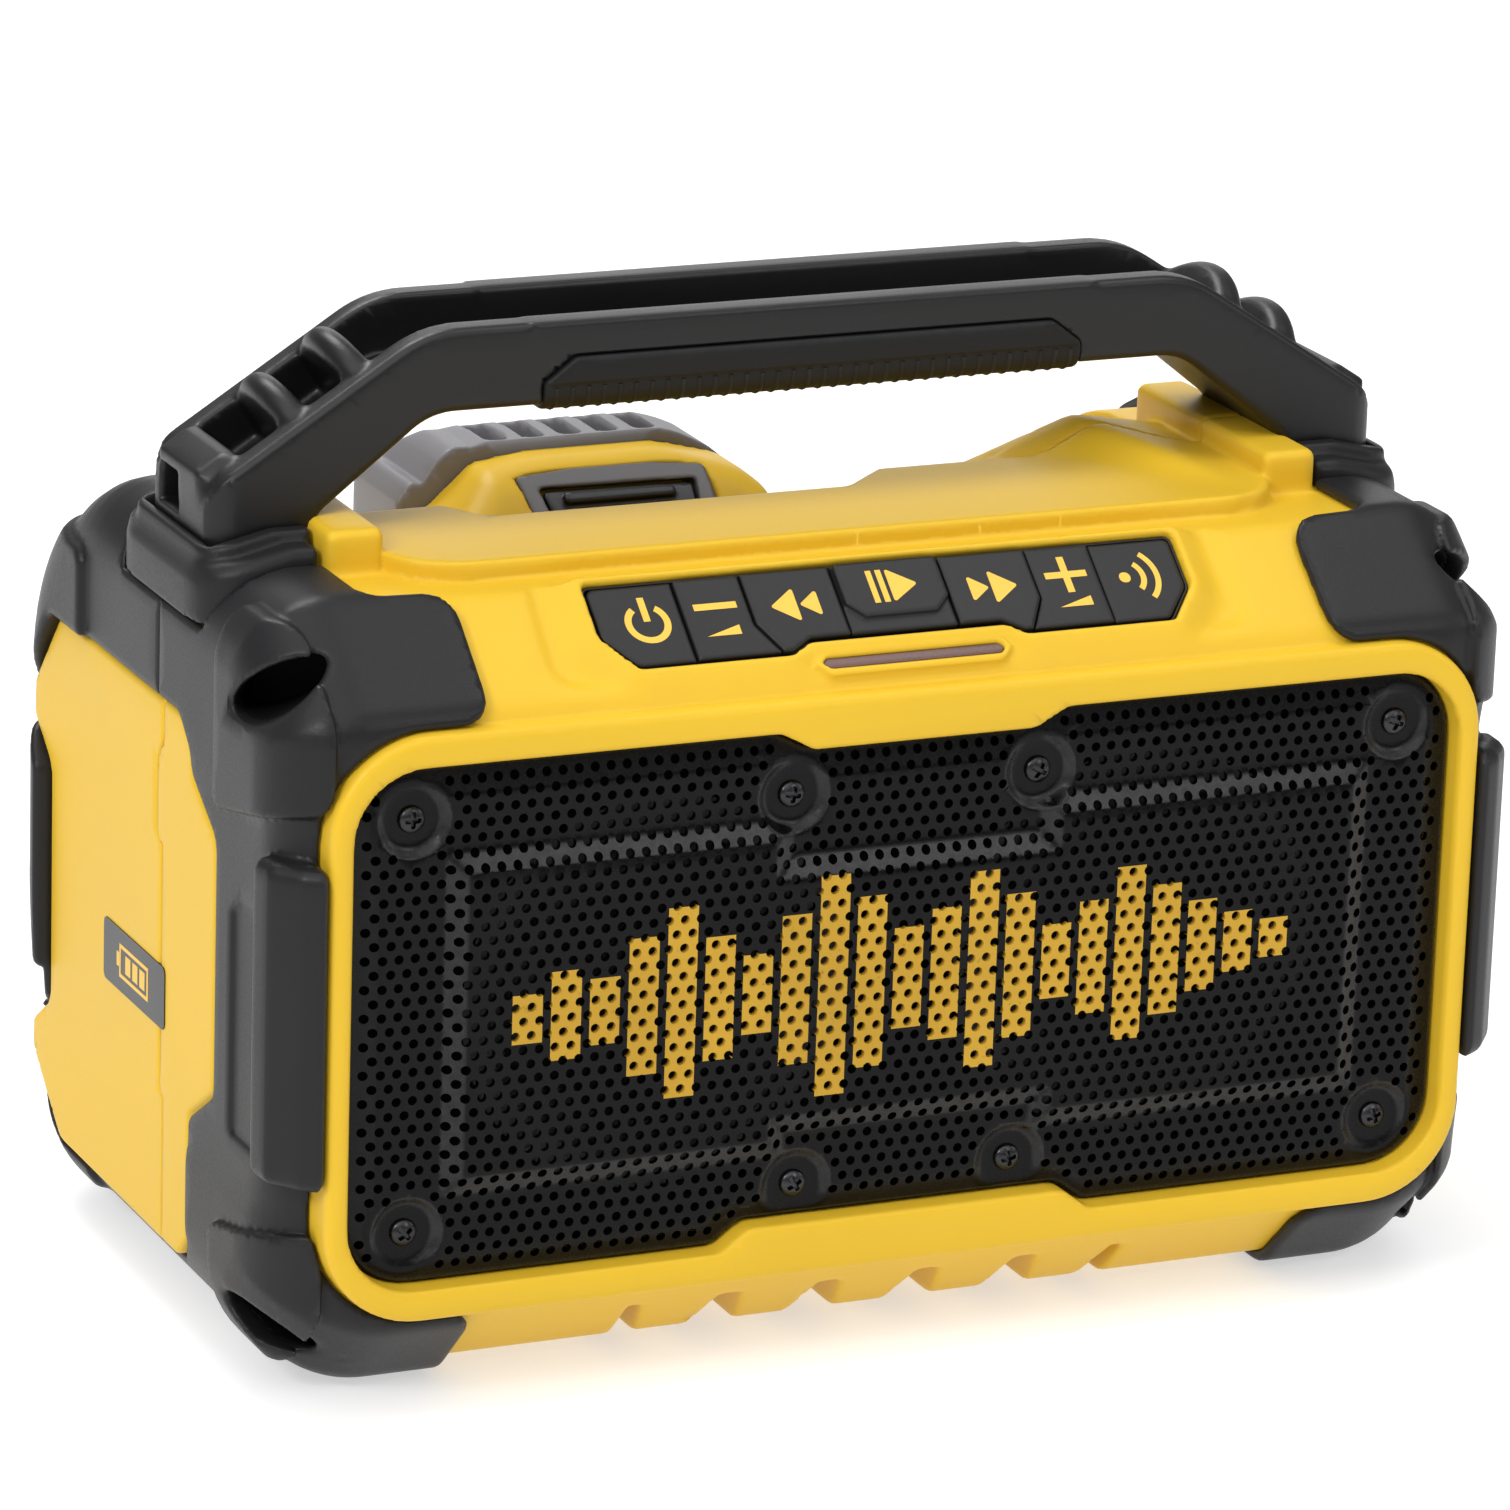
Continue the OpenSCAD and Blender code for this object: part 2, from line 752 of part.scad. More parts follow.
// Rubber that wraps one corner of the front, seen on the left
module front_bumper_left() {
    reach_x = hw - bumper_reach;
    difference() {
        intersection() {
            union() {
                body(bumper_t);
                intersection() {
                    body(bumper_t + bar_h);
                    box([-far, -far, bar_z0], [-bezel_x - 0.4, -hd + 10, bar_z1]);
                }
                intersection() {
                    body(bumper_t + pad_h);
                    union() {
                        box([-far, -far, deck_z - 39], [-hw + 14, -hd + 36, deck_z - 2]);
                        box([-far, -far, floor_gap + 5], [-hw + 17, -hd + 36, floor_gap + 30]);
                    }
                }
            }
            front_half();
            difference() {
                box([-far, -far, -far], [-reach_x, far, far]);
                along_y(-far, -hd + 8) round_rect(bezel_x + 0.4, bezel_z0 - 0.4, bezel_z1 + 0.4, bezel_r);
            }
        }
        body(0);
        mirror([1, 0, 0]) along_x(hw - 1, far) panel_outline(0);
        // Top deck stays clear between the slope and the socket
        box([-socket_in, -hd + slope_run - 1, deck_z - 1], [0, far, far]);
        box([-far, handle_y - socket_d/2 - 0.4, deck_z - 10.5], [-socket_in + 1, far, far]);
        box([-far, -hd + 12, bar_z0], [-hw - bumper_t + 0.9, -hd + 30.5, bar_z1 - 15]);
        lash_slot(lash_depth, 0, true);
        lash_slot(lash_depth, 0, false);
    }
}
module front_left_bumper() {
    color(rubber) front_bumper_left();
}
module front_right_bumper() {
    color(rubber) mirror([1, 0, 0]) front_bumper_left();
}

// Rubber that wraps one corner of the back, seen on the left
module rear_bumper_left() {
    reach_x = hw - bumper_reach;
    difference() {
        intersection() {
            union() {
                body(bumper_t);
                intersection() {
                    body(bumper_t + bar_h);
                    box([-far, hd - 14, bar_z0], [-hw + 20, far, bar_z1 - 14]);
                }
            }
            rear_half();
            difference() {
                box([-far, -far, -far], [-reach_x, far, far]);
                along_y(hd - 8, far) round_rect(hw - 18, bezel_z0 + 2, deck_z - 20, bezel_r);
            }
        }
        body(0);
        mirror([1, 0, 0]) along_x(hw - 1, far) panel_outline(0);
        box([-socket_in, -far, deck_z - 22], [0, hd - 10, far]);
        box([-far, -far, deck_z - 10.5], [-socket_in + 1, handle_y + socket_d/2 + 0.4, far]);
    }
}
module rear_left_bumper() {
    color(rubber) rear_bumper_left();
}
module rear_right_bumper() {
    color(rubber) mirror([1, 0, 0]) rear_bumper_left();
}

// Handle

module handle_outline() {
    drop = handle_z - deck_z - 15.5;
    polygon(rounded([
        [-leg_out, deck_z - 6, 0],
        [-leg_out, handle_z - drop, 4],
        [-handle_flat - 6, handle_z, 22],
        [handle_flat + 6, handle_z, 22],
        [leg_out, handle_z - drop, 4],
        [leg_out, deck_z - 6, 0],
        [leg_in, deck_z - 6, 0],
        [leg_in, deck_z + 8, 6],
        [handle_flat + 5, rail_z, 8],
        [-handle_flat - 5, rail_z, 8],
        [-leg_in, deck_z + 8, 6],
        [-leg_in, deck_z - 6, 0],
    ], 10));
}
// Line of the sloped leg's top, for its pockets
leg_slope = atan2(handle_rise - 15.5, leg_out - handle_flat - 6);
pocket_w = handle_w - 2*rail_t;
module on_leg() {
    translate([handle_flat + 6, handle_y, handle_z]) rotate([0, leg_slope, 0]) children();
}
module leg_pockets() {
    spans = [
        [-5, leg_ribs[0] - rib_t/2], [leg_ribs[0] + rib_t/2, leg_ribs[1] - rib_t/2],
        [leg_ribs[1] + rib_t/2, leg_ribs[1] + 14],
    ];
    on_leg() for (span = spans) {
        translate([span[0], -pocket_w/2, -pocket_h]) cube([span[1] - span[0], pocket_w, 30]);
    }
    box([leg_out - 3, handle_y - 9, deck_z + 6], [leg_out + 1, handle_y + 9, deck_z + 12]);
}
// Rounded ribs between the pockets, proud of the leg's line
module leg_lobes() {
    on_leg() for (at = leg_ribs) {
        translate([at, 0, 0.2]) rotate([90, 0, 0]) cylinder(r = rib_t/2, h = handle_w - 5, center = true);
    }
}
module grip_outline() {
    polygon(rounded([
        [-grip_half, rail_z - 2.6, 0], [-grip_half, rail_z + 5, 2],
        [-grip_half + 4, rail_z + grip_side_h - 2.6, 2], [grip_half - 4, rail_z + grip_side_h - 2.6, 2],
        [grip_half, rail_z + 5, 2], [grip_half, rail_z - 2.6, 0],
    ], 30));
}
// Space that the soft grip takes from the handle: both outer faces and the underside
module grip_space() {
    inner = handle_w/2 - grip_t + 0.8;
    difference() {
        along_y(handle_y - far, handle_y + far) grip_outline();
        box([-far, handle_y - inner, rail_z + grip_t - 1.6], [far, handle_y + inner, far]);
    }
}
module handle() {
    color(black) difference() {
        union() {
            along_y(handle_y - handle_w/2, handle_y + handle_w/2) handle_outline();
            both_sides() leg_lobes();
        }
        // Channel between the rails
        along_y(handle_y - handle_w/2 + rail_t, handle_y + handle_w/2 - rail_t)
            polygon([
                [-handle_flat - 6, handle_z + 1], [-handle_flat - 4, rail_z + rail_web + 2],
                [-handle_flat, rail_z + rail_web], [handle_flat, rail_z + rail_web],
                [handle_flat + 4, rail_z + rail_web + 2], [handle_flat + 6, handle_z + 1],
            ]);
        both_sides() leg_pockets();
        grip_space();
        body(0);
        at_handle_screws() cylinder(r = 2 + fit, h = 24, center = true);
    }
}
module handle_grip() {
    rib_n = 26;
    rib_step = 2*(grip_half - 6)/(rib_n - 1);
    color(rubber) {
        intersection() {
            grip_space();
            along_x(-far, far)
                polygon(rounded([
                    [handle_y - handle_w/2 - 0.8, handle_z, 0],
                    [handle_y - handle_w/2 - 0.8, rail_z - 2.6, 4],
                    [handle_y + handle_w/2 + 0.8, rail_z - 2.6, 4],
                    [handle_y + handle_w/2 + 0.8, handle_z, 0],
                ]));
        }
        for (i = [0 : rib_n - 1]) {
            translate([-grip_half + 6 + i*rib_step, handle_y, rail_z - 2.4]) rotate([90, 0, 0])
                cylinder(r = 0.9, h = handle_w - 8, center = true, $fn = 16);
        }
    }
}
module at_handle_screws() {
    for (s = [-1, 1]) {
        for (t = [-1, 1]) {
            translate([s*(leg_in + 5), handle_y + t*8, deck_z - wall]) rotate([180, 0, 0]) children();
        }
    }
}
module handle_screws() {
    color(steel) at_handle_screws() screw(3.6, 2.4, 2, 10);
}

// Flange round the leg, with a collar that stands higher
module socket_left() {
    flange_z = deck_z + socket_h - 2;
    collar_half = handle_w/2 + 3.3;
    collar_out = socket_out - 2;
    difference() {
        union() {
            intersection() {
                along_y(handle_y - socket_d/2, handle_y + socket_d/2)
                    polygon([
                        [-socket_in, deck_z - 10], [-socket_in, flange_z], [-socket_in - 6, flange_z],
                        [-socket_out + 2.5, deck_z + 1.6], [-socket_out, deck_z - 2],
                        [-socket_out, deck_z - 10],
                    ]);
                along_z(0, far) polygon(rounded([
                    [-socket_out, handle_y - socket_d/2, 9], [-socket_in, handle_y - socket_d/2, 0],
                    [-socket_in, handle_y + socket_d/2, 0], [-socket_out, handle_y + socket_d/2, 9],
                ]));
            }
            intersection() {
                along_y(handle_y - collar_half, handle_y + collar_half)
                    polygon([
                        [-socket_in, deck_z - 4], [-socket_in, deck_z + socket_h],
                        [-socket_in - 8, deck_z + socket_h], [-collar_out, deck_z + 4.4],
                        [-collar_out, deck_z - 4],
                    ]);
                along_z(0, far) polygon(rounded([
                    [-collar_out, handle_y - collar_half, 5], [-socket_in, handle_y - collar_half, 0],
                    [-socket_in, handle_y + collar_half, 0], [-collar_out, handle_y + collar_half, 5],
                ]));
            }
        }
        body(0);
        box([-leg_out - fit, handle_y - handle_w/2 - fit, 0],
            [-leg_in + fit, handle_y + handle_w/2 + fit, far]);
        along_y(handle_y - handle_w/2 - fit, handle_y + handle_w/2 + fit) handle_outline();
    }
}
module left_handle_socket() {
    color(rubber) socket_left();
}
module right_handle_socket() {
    color(rubber) mirror([1, 0, 0]) socket_left();
}

// Grille

// Raised block with sloped borders on the grille's front; set in, it is the hollow behind,
// which runs a little past the sheet's back
module raised_field(x0, x1, z0, z1, set_in) {
    past = set_in > 0 ? 0.5 : 0;
    low = rim_y + set_in + past;
    top = rim_y - grille_boss + set_in;
    b = grille_border;
    k = past*b/grille_boss;
    intersection() {
        along_z(z0 - k, z1 + k) polygon([[x0 - k, low], [x1 + k, low], [x1 - b, top], [x0 + b, top]]);
        along_x(x0 - k, x1 + k) polygon([[low, z0 - k], [low, z1 + k], [top, z1 - b], [top, z0 + b]]);
    }
}
module grille_field(set_in) {
    x = opening_x - field_side;
    z0 = opening_z0 + field_band;
    z1 = opening_z1 - field_band;
    raised_field(-x, x, z0 + 5, z1 - 7.5, set_in);
    for (s = [-1, 1]) {
        raised_field(s < 0 ? -x : 26, s < 0 ? -26 : x, z0, z1, set_in);
    }
}
// Whether a perforation fits on the flat of the raised field
function on_field(x, z) = let (
    keep = grille_border + hole_d/2,
    side = opening_x - field_side - keep,
    up = opening_z1 - field_band - keep,
    low = opening_z0 + field_band + keep)
    abs(x) <= side && z <= (abs(x) < 26 + keep ? up - 7.5 : up) && z >= (abs(x) < 26 + keep ? low + 5 : low);
module grille_holes() {
    row_h = hole_pitch*sqrt(3)/2;
    n = ceil(opening_x/hole_pitch);
    for (j = [-8 : 8]) {
        for (i = [-n : n]) {
            x = (i + abs(j % 2)/2)*hole_pitch;
            z = driver_z + j*row_h;
            if (on_field(x, z)) {
                translate([x, z]) circle(hole_d/2, $fn = 6);
            }
        }
    }
}
module grille() {
    color(black) difference() {
        union() {
            along_y(rim_y, rim_y + grille_t) grille_outline(0.3);
            difference() {
                along_y(rim_y, baffle_y) grille_outline(0.3);
                along_y(rim_y - 1, baffle_y + 1) grille_outline(0.3 + grille_t);
            }
            grille_field(0);
            for (p = grille_screws_xz) {
                translate([p.x, rim_y + dimple_h + grille_t, p.y]) rotate([90, 0, 0])
                    cylinder(r = dimple_d/2, h = dimple_h + grille_t);
            }
        }
        grille_field(grille_t);
        at_grille_screws() {
            cylinder(r = dimple_d/2 - grille_t, h = 10);
            cylinder(r = grille_shank_r + fit, h = 20, center = true);
        }
        along_y(rim_y - 10, rim_y + 6) grille_holes();
    }
}
module grille_screws() {
    color(steel) at_grille_screws() screw(3.2, 1.7, grille_shank_r, 9);
}
module case_screws() {
    color(steel) at_case_screws() screw(4, 2.6, case_screw_r, hd - 10 - seam_y + 14);
}

// Loudspeakers

// Pressed frame: mounting flange, tapered legs and the ring that carries the magnet
basket_low_r = 19;
// Inner radius of the basket's sloped wall at height z
function basket_in(z) = cutout_r - 2.4 + (cutout_r - 2.4 - basket_low_r)*z/(basket_h - 2);
module driver_basket() {
    difference() {
        rotate_extrude() polygon([
            [flange_r, 0], [flange_r, flange_h], [cutout_r - 2, flange_h], [basket_in(0), 0],
            [basket_low_r, -basket_h + 2], [coil_r + 2, -basket_h + 2], [coil_r + 2, -basket_h],
            [20.5, -basket_h], [cutout_r - 0.6, -1], [cutout_r - 0.6, 0],
        ]);
        for (a = [0 : 60 : 300]) {
            rotate(a) translate([0, 0, -basket_h/2]) rotate([0, 90, 0])
                linear_extrude(far/8) square([10, 16], center = true);
        }
        for (a = [45 : 90 : 315]) {
            rotate(a) translate([flange_r - 2.8, 0, 0]) cylinder(r = 1.3 + fit, h = 10, center = true);
        }
    }
}
// Magnet, plates and pole piece, with the gap for the voice coil
module driver_magnet() {
    gap = 0.8;
    rotate_extrude() polygon([
        [0, -basket_h - 15], [magnet_r, -basket_h - 15], [magnet_r + 1, -basket_h - 14],
        [magnet_r + 1, -basket_h - 11], [magnet_r, -basket_h - 11], [magnet_r, -basket_h - 3],
        [magnet_r - 3, -basket_h - 3], [magnet_r - 3, -basket_h], [coil_r + gap, -basket_h],
        [coil_r + gap, -basket_h - 11], [coil_r - 0.5 - gap, -basket_h - 11],
        [coil_r - 0.5 - gap, -basket_h + 1], [0, -basket_h + 1],
    ]);
}
module driver_cone() {
    neck_h = -13;
    cap_r = 16;
    cap_h = sqrt(cap_r*cap_r - coil_r*coil_r);
    rotate_extrude() polygon([
        [cone_edge_r - 1, flange_h], [cone_edge_r, flange_h], [coil_r, neck_h - 0.4],
        [coil_r, -basket_h - 6], [coil_r - 0.5, -basket_h - 6], [coil_r - 0.5, neck_h + 0.2],
    ]);
    translate([0, 0, neck_h + 1.5 - cap_h]) intersection() {
        difference() {
            sphere(cap_r + 0.4);
            sphere(cap_r - 0.2);
        }
        translate([0, 0, cap_h - 1.7]) cylinder(r = coil_r + 0.6, h = 20);
    }
}
// Half-roll rubber edge of the cone
module driver_surround() {
    roll_r = (cutout_r - 2 - cone_edge_r)/2 + 0.4;
    roll_x = cone_edge_r + roll_r;
    rotate_extrude() {
        difference() {
            translate([roll_x, flange_h + 0.1]) circle(roll_r);
            translate([roll_x, flange_h + 0.1]) circle(roll_r - 0.6);
            translate([0, flange_h - 19.95]) square([60, 20]);
        }
        translate([cone_edge_r - 1.2, flange_h + 0.05]) square([1.6, 0.6]);
        translate([roll_x + roll_r - 0.5, flange_h + 0.05]) square([2.6, 0.6]);
    }
}
// Corrugated disc that centres the voice coil
module driver_spider() {
    x0 = coil_r + 0.1;
    x1 = basket_in(spider_h - 0.25) + 0.05;
    waves = 3;
    top = [for (i = [0 : 4*waves]) [x0 + (x1 - x0)*i/(4*waves), spider_h + 0.9*sin(90*i)]];
    rotate_extrude() polygon(concat(
        [for (p = top) p + [0, 0.25]], [for (i = [len(top) - 1 : -1 : 0]) top[i] - [0, 0.25]]));
}
module left_basket() {
    color(grey) at_driver(-1) driver_basket();
}
module right_basket() {
    color(grey) at_driver(1) driver_basket();
}
module left_magnet() {
    color(steel) at_driver(-1) driver_magnet();
}
module right_magnet() {
    color(steel) at_driver(1) driver_magnet();
}
module left_cone() {
    color(black) at_driver(-1) driver_cone();
}
module right_cone() {
    color(black) at_driver(1) driver_cone();
}
module left_surround() {
    color(rubber) at_driver(-1) driver_surround();
}
module right_surround() {
    color(rubber) at_driver(1) driver_surround();
}
module left_spider() {
    color(copper) at_driver(-1) driver_spider();
}
module right_spider() {
    color(copper) at_driver(1) driver_spider();
}
module driver_screws() {
    color(steel) for (s = [-1, 1]) {
        at_driver_screws(s) screw(driver_head_r, 1.5, 1.3, 7);
    }
}

// Keypad

module keypad_frame() {
    edges = [for (i = [3 : -1 : 0]) -key_edges[i], each key_edges];
    color(rubber) on_slope() difference() {
        union() {
            translate([0, 0, pad_low]) linear_extrude(pad_top - pad_low) keypad_outline(0);
            translate([0, 0, pad_low]) linear_extrude(flange_t - 0.1) intersection() {
                keypad_outline(1.6);
                translate([-far/2, 0]) square([far, slope_l - 2.2 - fit]);
            }
        }
        for (i = [0 : 6]) {
            linear_extrude(40, center = true) key_outline(edges[i], edges[i + 1], 0);
        }
    }
}
// Key number i from the left, with a flange behind the frame and a plunger over its switch
module key(i, proud) {
    edges = [for (k = [3 : -1 : 0]) -key_edges[k], each key_edges];
    middle = (edges[i] + edges[i + 1])/2;
    color(rubber) on_slope() {
        translate([0, 0, key_flange_low]) linear_extrude(key_top + proud - key_flange_low)
            key_outline(edges[i], edges[i + 1], key_gap);
        translate([0, 0, key_flange_low]) linear_extrude(flange_t)
            key_outline(edges[i], edges[i + 1], -0.4);
        translate([middle, keypad_v0 + 9, key_flange_low - plunger_l]) cylinder(r = 2, h = plunger_l + eps);
    }
}
module power_key() {
    key(0, 0);
}
module volume_down_key() {
    key(1, 0);
}
module previous_key() {
    key(2, 0);
}
module play_key() {
    key(3, 0.8);
}
module next_key() {
    key(4, 0);
}
module volume_up_key() {
    key(5, 0);
}
module pairing_key() {
    key(6, 0);
}
module keypad_board() {
    edges = [for (k = [3 : -1 : 0]) -key_edges[k], each key_edges];
    color(green) on_slope() difference() {
        union() {
            translate([-board_half, 3.6, board_top - board_t]) cube([2*board_half, slope_l - 7.6, board_t]);
            for (i = [0 : 6]) {
                translate([(edges[i] + edges[i + 1])/2 - 3, keypad_v0 + 6, board_top - eps])
                    cube([6, 6, switch_h - 0.6 + eps]);
                translate([(edges[i] + edges[i + 1])/2, keypad_v0 + 9, board_top])
                    cylinder(r = 1.7, h = switch_h);
            }
        }
        for (p = keypad_posts) {
            translate([p.x, p.y, board_top - 10]) cylinder(r = 1.3 + fit, h = 20);
        }
    }
}
module keypad_board_screws() {
    color(steel) at_keypad_posts(board_top - board_t) rotate([180, 0, 0]) screw(2.4, 1.4, 1.3, 5);
}
module status_lens() {
    color([0.45, 0.33, 0.32]) on_slope() translate([0, lens_v, pad_roof - 1]) {
        linear_extrude(1.6 - pad_roof) lens_outline(0);
        linear_extrude(1) lens_outline(1);
    }
}

// Electronics

module main_board() {
    color(green) difference() {
        union() {
            translate([-main_board_half.x, main_board_y - main_board_half.y, main_board_z])
                cube([2*main_board_half.x, 2*main_board_half.y, 1.6]);
            // Amplifier with its heat sink, supply coil, capacitors, radio can and plug headers
            for (i = [0 : 5]) {
                translate([-14 + i*5, main_board_y - 8, main_board_z]) cube([1.6, 18, 13]);
            }
            translate([-15, main_board_y - 8, main_board_z]) cube([30, 18, 4]);
            translate([34, main_board_y - 4, main_board_z]) cylinder(r = 8, h = 10);
            for (i = [0 : 2]) {
                translate([-24 - i*11, main_board_y + 6, main_board_z]) cylinder(r = 4.5, h = 14);
            }
            translate([-48, main_board_y - 15, main_board_z]) cube([16, 12, 4]);
            translate([20, main_board_y + 9, main_board_z]) cube([14, 6, 9]);
        }
        at_main_posts(0) cylinder(r = 1.3 + fit, h = far);
    }
}
module main_board_screws() {
    color(steel) at_main_posts(main_board_z + 1.6) screw(2.6, 1.6, 1.3, 6);
}

// Battery dock in the rear housing

module at_dock_screws() {
    for (s = [-1, 1]) {
        for (z = [bay_z + 18, pack_z1 - 30]) {
            translate([pack_x + s*14, bay_y + dock_t, z]) rotate([-90, 0, 0]) children();
        }
    }
}
module battery_dock() {
    outer = rail_flange.x + slide_gap;
    lip = rail_stem.x + slide_gap;
    color(black) difference() {
        along_z(bay_z, pack_z1 - latch_rise - 1) translate([pack_x, 0]) {
            translate([-outer - 5, bay_y]) square([2*outer + 10, dock_t]);
            for (x = [-outer - 4, outer]) {
                translate([x, bay_y]) square([4, pack_y - slide_gap - bay_y]);
            }
            for (x = [-outer - 4, lip]) {
                translate([x, rail_y + rail_flange.y + slide_gap])
                    square([outer + 4 - lip, rail_stem.y - 2*slide_gap]);
            }
        }
        at_dock_screws() {
            cylinder(r = 1.5 + fit, h = 20, center = true);
            translate([0, 0, -1.6]) cylinder(r = 3.2, h = 10);
        }
        // Groove for the hook of the release key
        box([pack_x - 7, bay_y + 0.8, pack_z1 - 40], [pack_x + 7, bay_y + 10, far]);
    }
}
module dock_screws() {
    color(steel) at_dock_screws() translate([0, 0, -1.6]) screw(2.9, 1.5, 1.5, 4);
}
module dock_blades() {
    color(copper) for (i = [0 : 3]) {
        translate([pack_x - 15.4 + i*10, bay_y + dock_t, bay_z + 4]) cube([0.8, 8, 20]);
    }
}

// Battery pack

module pack_outline(shrink) {
    // YZ outline of the case with the sloped face for the release key
    polygon(rounded([
        [pack_y + shrink, pack_z0 + shrink, 3], [pack_y + pack_d - shrink, pack_z0 + shrink, 8],
        [pack_y + pack_d - shrink, pack_z1 - shrink, 12], [pack_y + latch_run + shrink, pack_z1 - shrink, 3],
        [pack_y + shrink, pack_z1 - latch_rise - shrink, 2],
    ]));
}
module pack_form(shrink) {
    intersection() {
        along_x(pack_x - pack_w/2 + shrink, pack_x + pack_w/2 - shrink) pack_outline(shrink);
        along_y(0, far) polygon(rounded([
            [pack_x - pack_w/2 + shrink, pack_z0 + shrink, 4],
            [pack_x + pack_w/2 - shrink, pack_z0 + shrink, 4],
            [pack_x + pack_w/2 - shrink, pack_z1 - 10.5, 6], [pack_x + pack_w/2 - 6, pack_z1 - 4.6, 9],
            [pack_x + pack_w/2 - 15, pack_z1 - shrink, 12], [pack_x - pack_w/2 + 13, pack_z1 - shrink, 7],
            [pack_x - pack_w/2 + shrink, pack_z1 - 11.5, 4],
        ], 20));
    }
}
// Frame of the pack's sloped face: x across, y up the slope, z out of it
module on_latch_face() {
    translate([pack_x, pack_y, pack_z1 - latch_rise]) rotate([latch_a, 0, 0]) children();
}
module battery_case() {
    color(yellow) difference() {
        union() {
            intersection() {
                pack_form(0);
                box([-far, -far, -far], [far, pack_y + pack_split, far]);
            }
            along_z(pack_z0 + 4, pack_z1 - 20) translate([pack_x, 0]) {
                translate([-rail_flange.x, rail_y]) square([2*rail_flange.x, rail_flange.y]);
                translate([-rail_stem.x, rail_y]) square([2*rail_stem.x, pack_y - rail_y + 1]);
            }
        }
        intersection() {
            pack_form(pack_wall);
            box([-far, pack_y + pack_wall, -far], [far, far, pack_z1 - 20.5]);
        }
        // Slots for the dock's blades, open at the lower end
        for (i = [0 : 3]) {
            box([pack_x - 16.2 + i*10, 0, pack_z0],
                [pack_x - 13.8 + i*10, bay_y + dock_t + 8.6, pack_z0 + 34]);
        }
        // Well of the release key, its mouth on the sloped face and the slot for its hook
        difference() {
            box([pack_x - latch_w/2 - 0.5, pack_y + pack_wall, pack_z1 - 19],
                [pack_x + latch_w/2 + 0.5, latch_back, pack_z1 - 3.6]);
            on_latch_face() translate([-far/2, -far/2, -pack_wall]) cube(far);
        }
        on_latch_face() translate([-latch_w/2 - 0.5, latch_v.x - 0.5, -5])
            cube([latch_w + 1, latch_v.y - latch_v.x + 1 + latch_travel, 10]);
        box([pack_x - 6.5, 0, pack_z1 - 19], [pack_x + 6.5, pack_y + 4, pack_z1 - 15]);
        // Shallow tapered recess round the key
        on_latch_face() translate([0, 0, -0.8]) linear_extrude(8) polygon([
            [-18, latch_v.x - 2], [18, latch_v.x - 2],
            [21, latch_v.y + latch_travel + 1.5], [-21, latch_v.y + latch_travel + 1.5],
        ]);
    }
}
module battery_cover() {
    color(grey) difference() {
        union() {
            difference() {
                intersection() {
                    pack_form(0);
                    box([-far, pack_y + pack_split, -far], [far, far, far]);
                }
                intersection() {
                    pack_form(pack_wall);
                    box([-far, 0, -far], [far, far, pack_z1 - 12]);
                }
            }
        }
        // Grip grooves across the upper end
        for (i = [-2 : 2]) {
            translate([pack_x + i*12 - 2.5, pack_y + pack_split + 4, pack_z1 - 2.2]) cube([5, far, 20]);
        }
    }
}
// Release key with its slider and the hook that reaches into the dock
module battery_latch() {
    color(black) {
        on_latch_face() translate([-latch_w/2, latch_v.x, -6]) cube([latch_w, latch_v.y - latch_v.x, 5.6]);
        on_latch_face() translate([-latch_w/2 + 3, (latch_v.x + latch_v.y)/2 - 1, -0.5])
            cube([latch_w - 6, 2, 1.1]);
        box([pack_x - latch_w/2, latch_y0, pack_z1 - 18.5], [pack_x + latch_w/2, latch_y1, pack_z1 - 13]);
        box([pack_x - 6, bay_y + 1.4, pack_z1 - 18.5], [pack_x + 6, latch_y0 + 1, pack_z1 - 15.5]);
    }
}
module latch_spring() {
    turns = 4;
    wire_r = 0.35;
    length = latch_back - latch_y1;
    color(steel) translate([pack_x, latch_y1, pack_z1 - 15.8]) rotate([-90, 0, 0]) {
        for (i = [0 : turns]) {
            translate([0, 0, wire_r + i*(length - 2*wire_r)/turns])
                rotate_extrude() translate([2.2, 0]) circle(wire_r, $fn = 16);
        }
    }
}
module battery_cells() {
    cell_r = 9.1;
    color([0.2, 0.45, 0.75]) for (j = [0, 1]) {
        for (i = [0 : 4]) {
            translate([pack_x - 32.5, pack_y + pack_d - pack_wall - cell_r - 0.2 - j*18.6,
                pack_z0 + pack_wall + cell_r + 0.2 + i*18.4]) rotate([0, 90, 0]) cylinder(r = cell_r, h = 65);
        }
    }
}

// Ports

module port_door() {
    gap = 0.4;
    low = [port_x - port_w/2 + gap, door_y, port_z - port_h/2 + gap];
    high = [port_x + port_w/2 - gap, door_y + door_t, port_z + port_h/2 - gap];
    color(rubber) difference() {
        union() {
            box(low + [0, 0, 2.2], high);
            along_x(low.x, high.x) translate([hinge_y, hinge_z]) circle(door_t/2);
            box([port_x - 7, door_y + door_t - eps, high.z - 5],
                [port_x + 7, door_y + door_t + 1.4, high.z - 2.5]);
        }
        along_x(low.x - 1, high.x + 1) translate([hinge_y, hinge_z]) circle(door_pin_r + run_fit);
    }
}
module port_door_pin() {
    color(steel) along_x(port_x - port_w/2 - 4, port_x + port_w/2 + 4)
        translate([hinge_y, hinge_z]) circle(door_pin_r);
}
port_post_l = 3;
module at_port_posts() {
    for (s = [-1, 1]) {
        translate([port_x + s*17, door_y - port_depth - wall - port_post_l, port_z - 6])
            rotate([-90, 0, 0]) children();
    }
}
module port_board() {
    board_y = door_y - port_depth - wall - port_post_l - 1.6;
    color(green) translate([port_x - port_w/2 + 3, board_y, port_z - 11])
        cube([port_w - 6, 1.6, 22]);
}
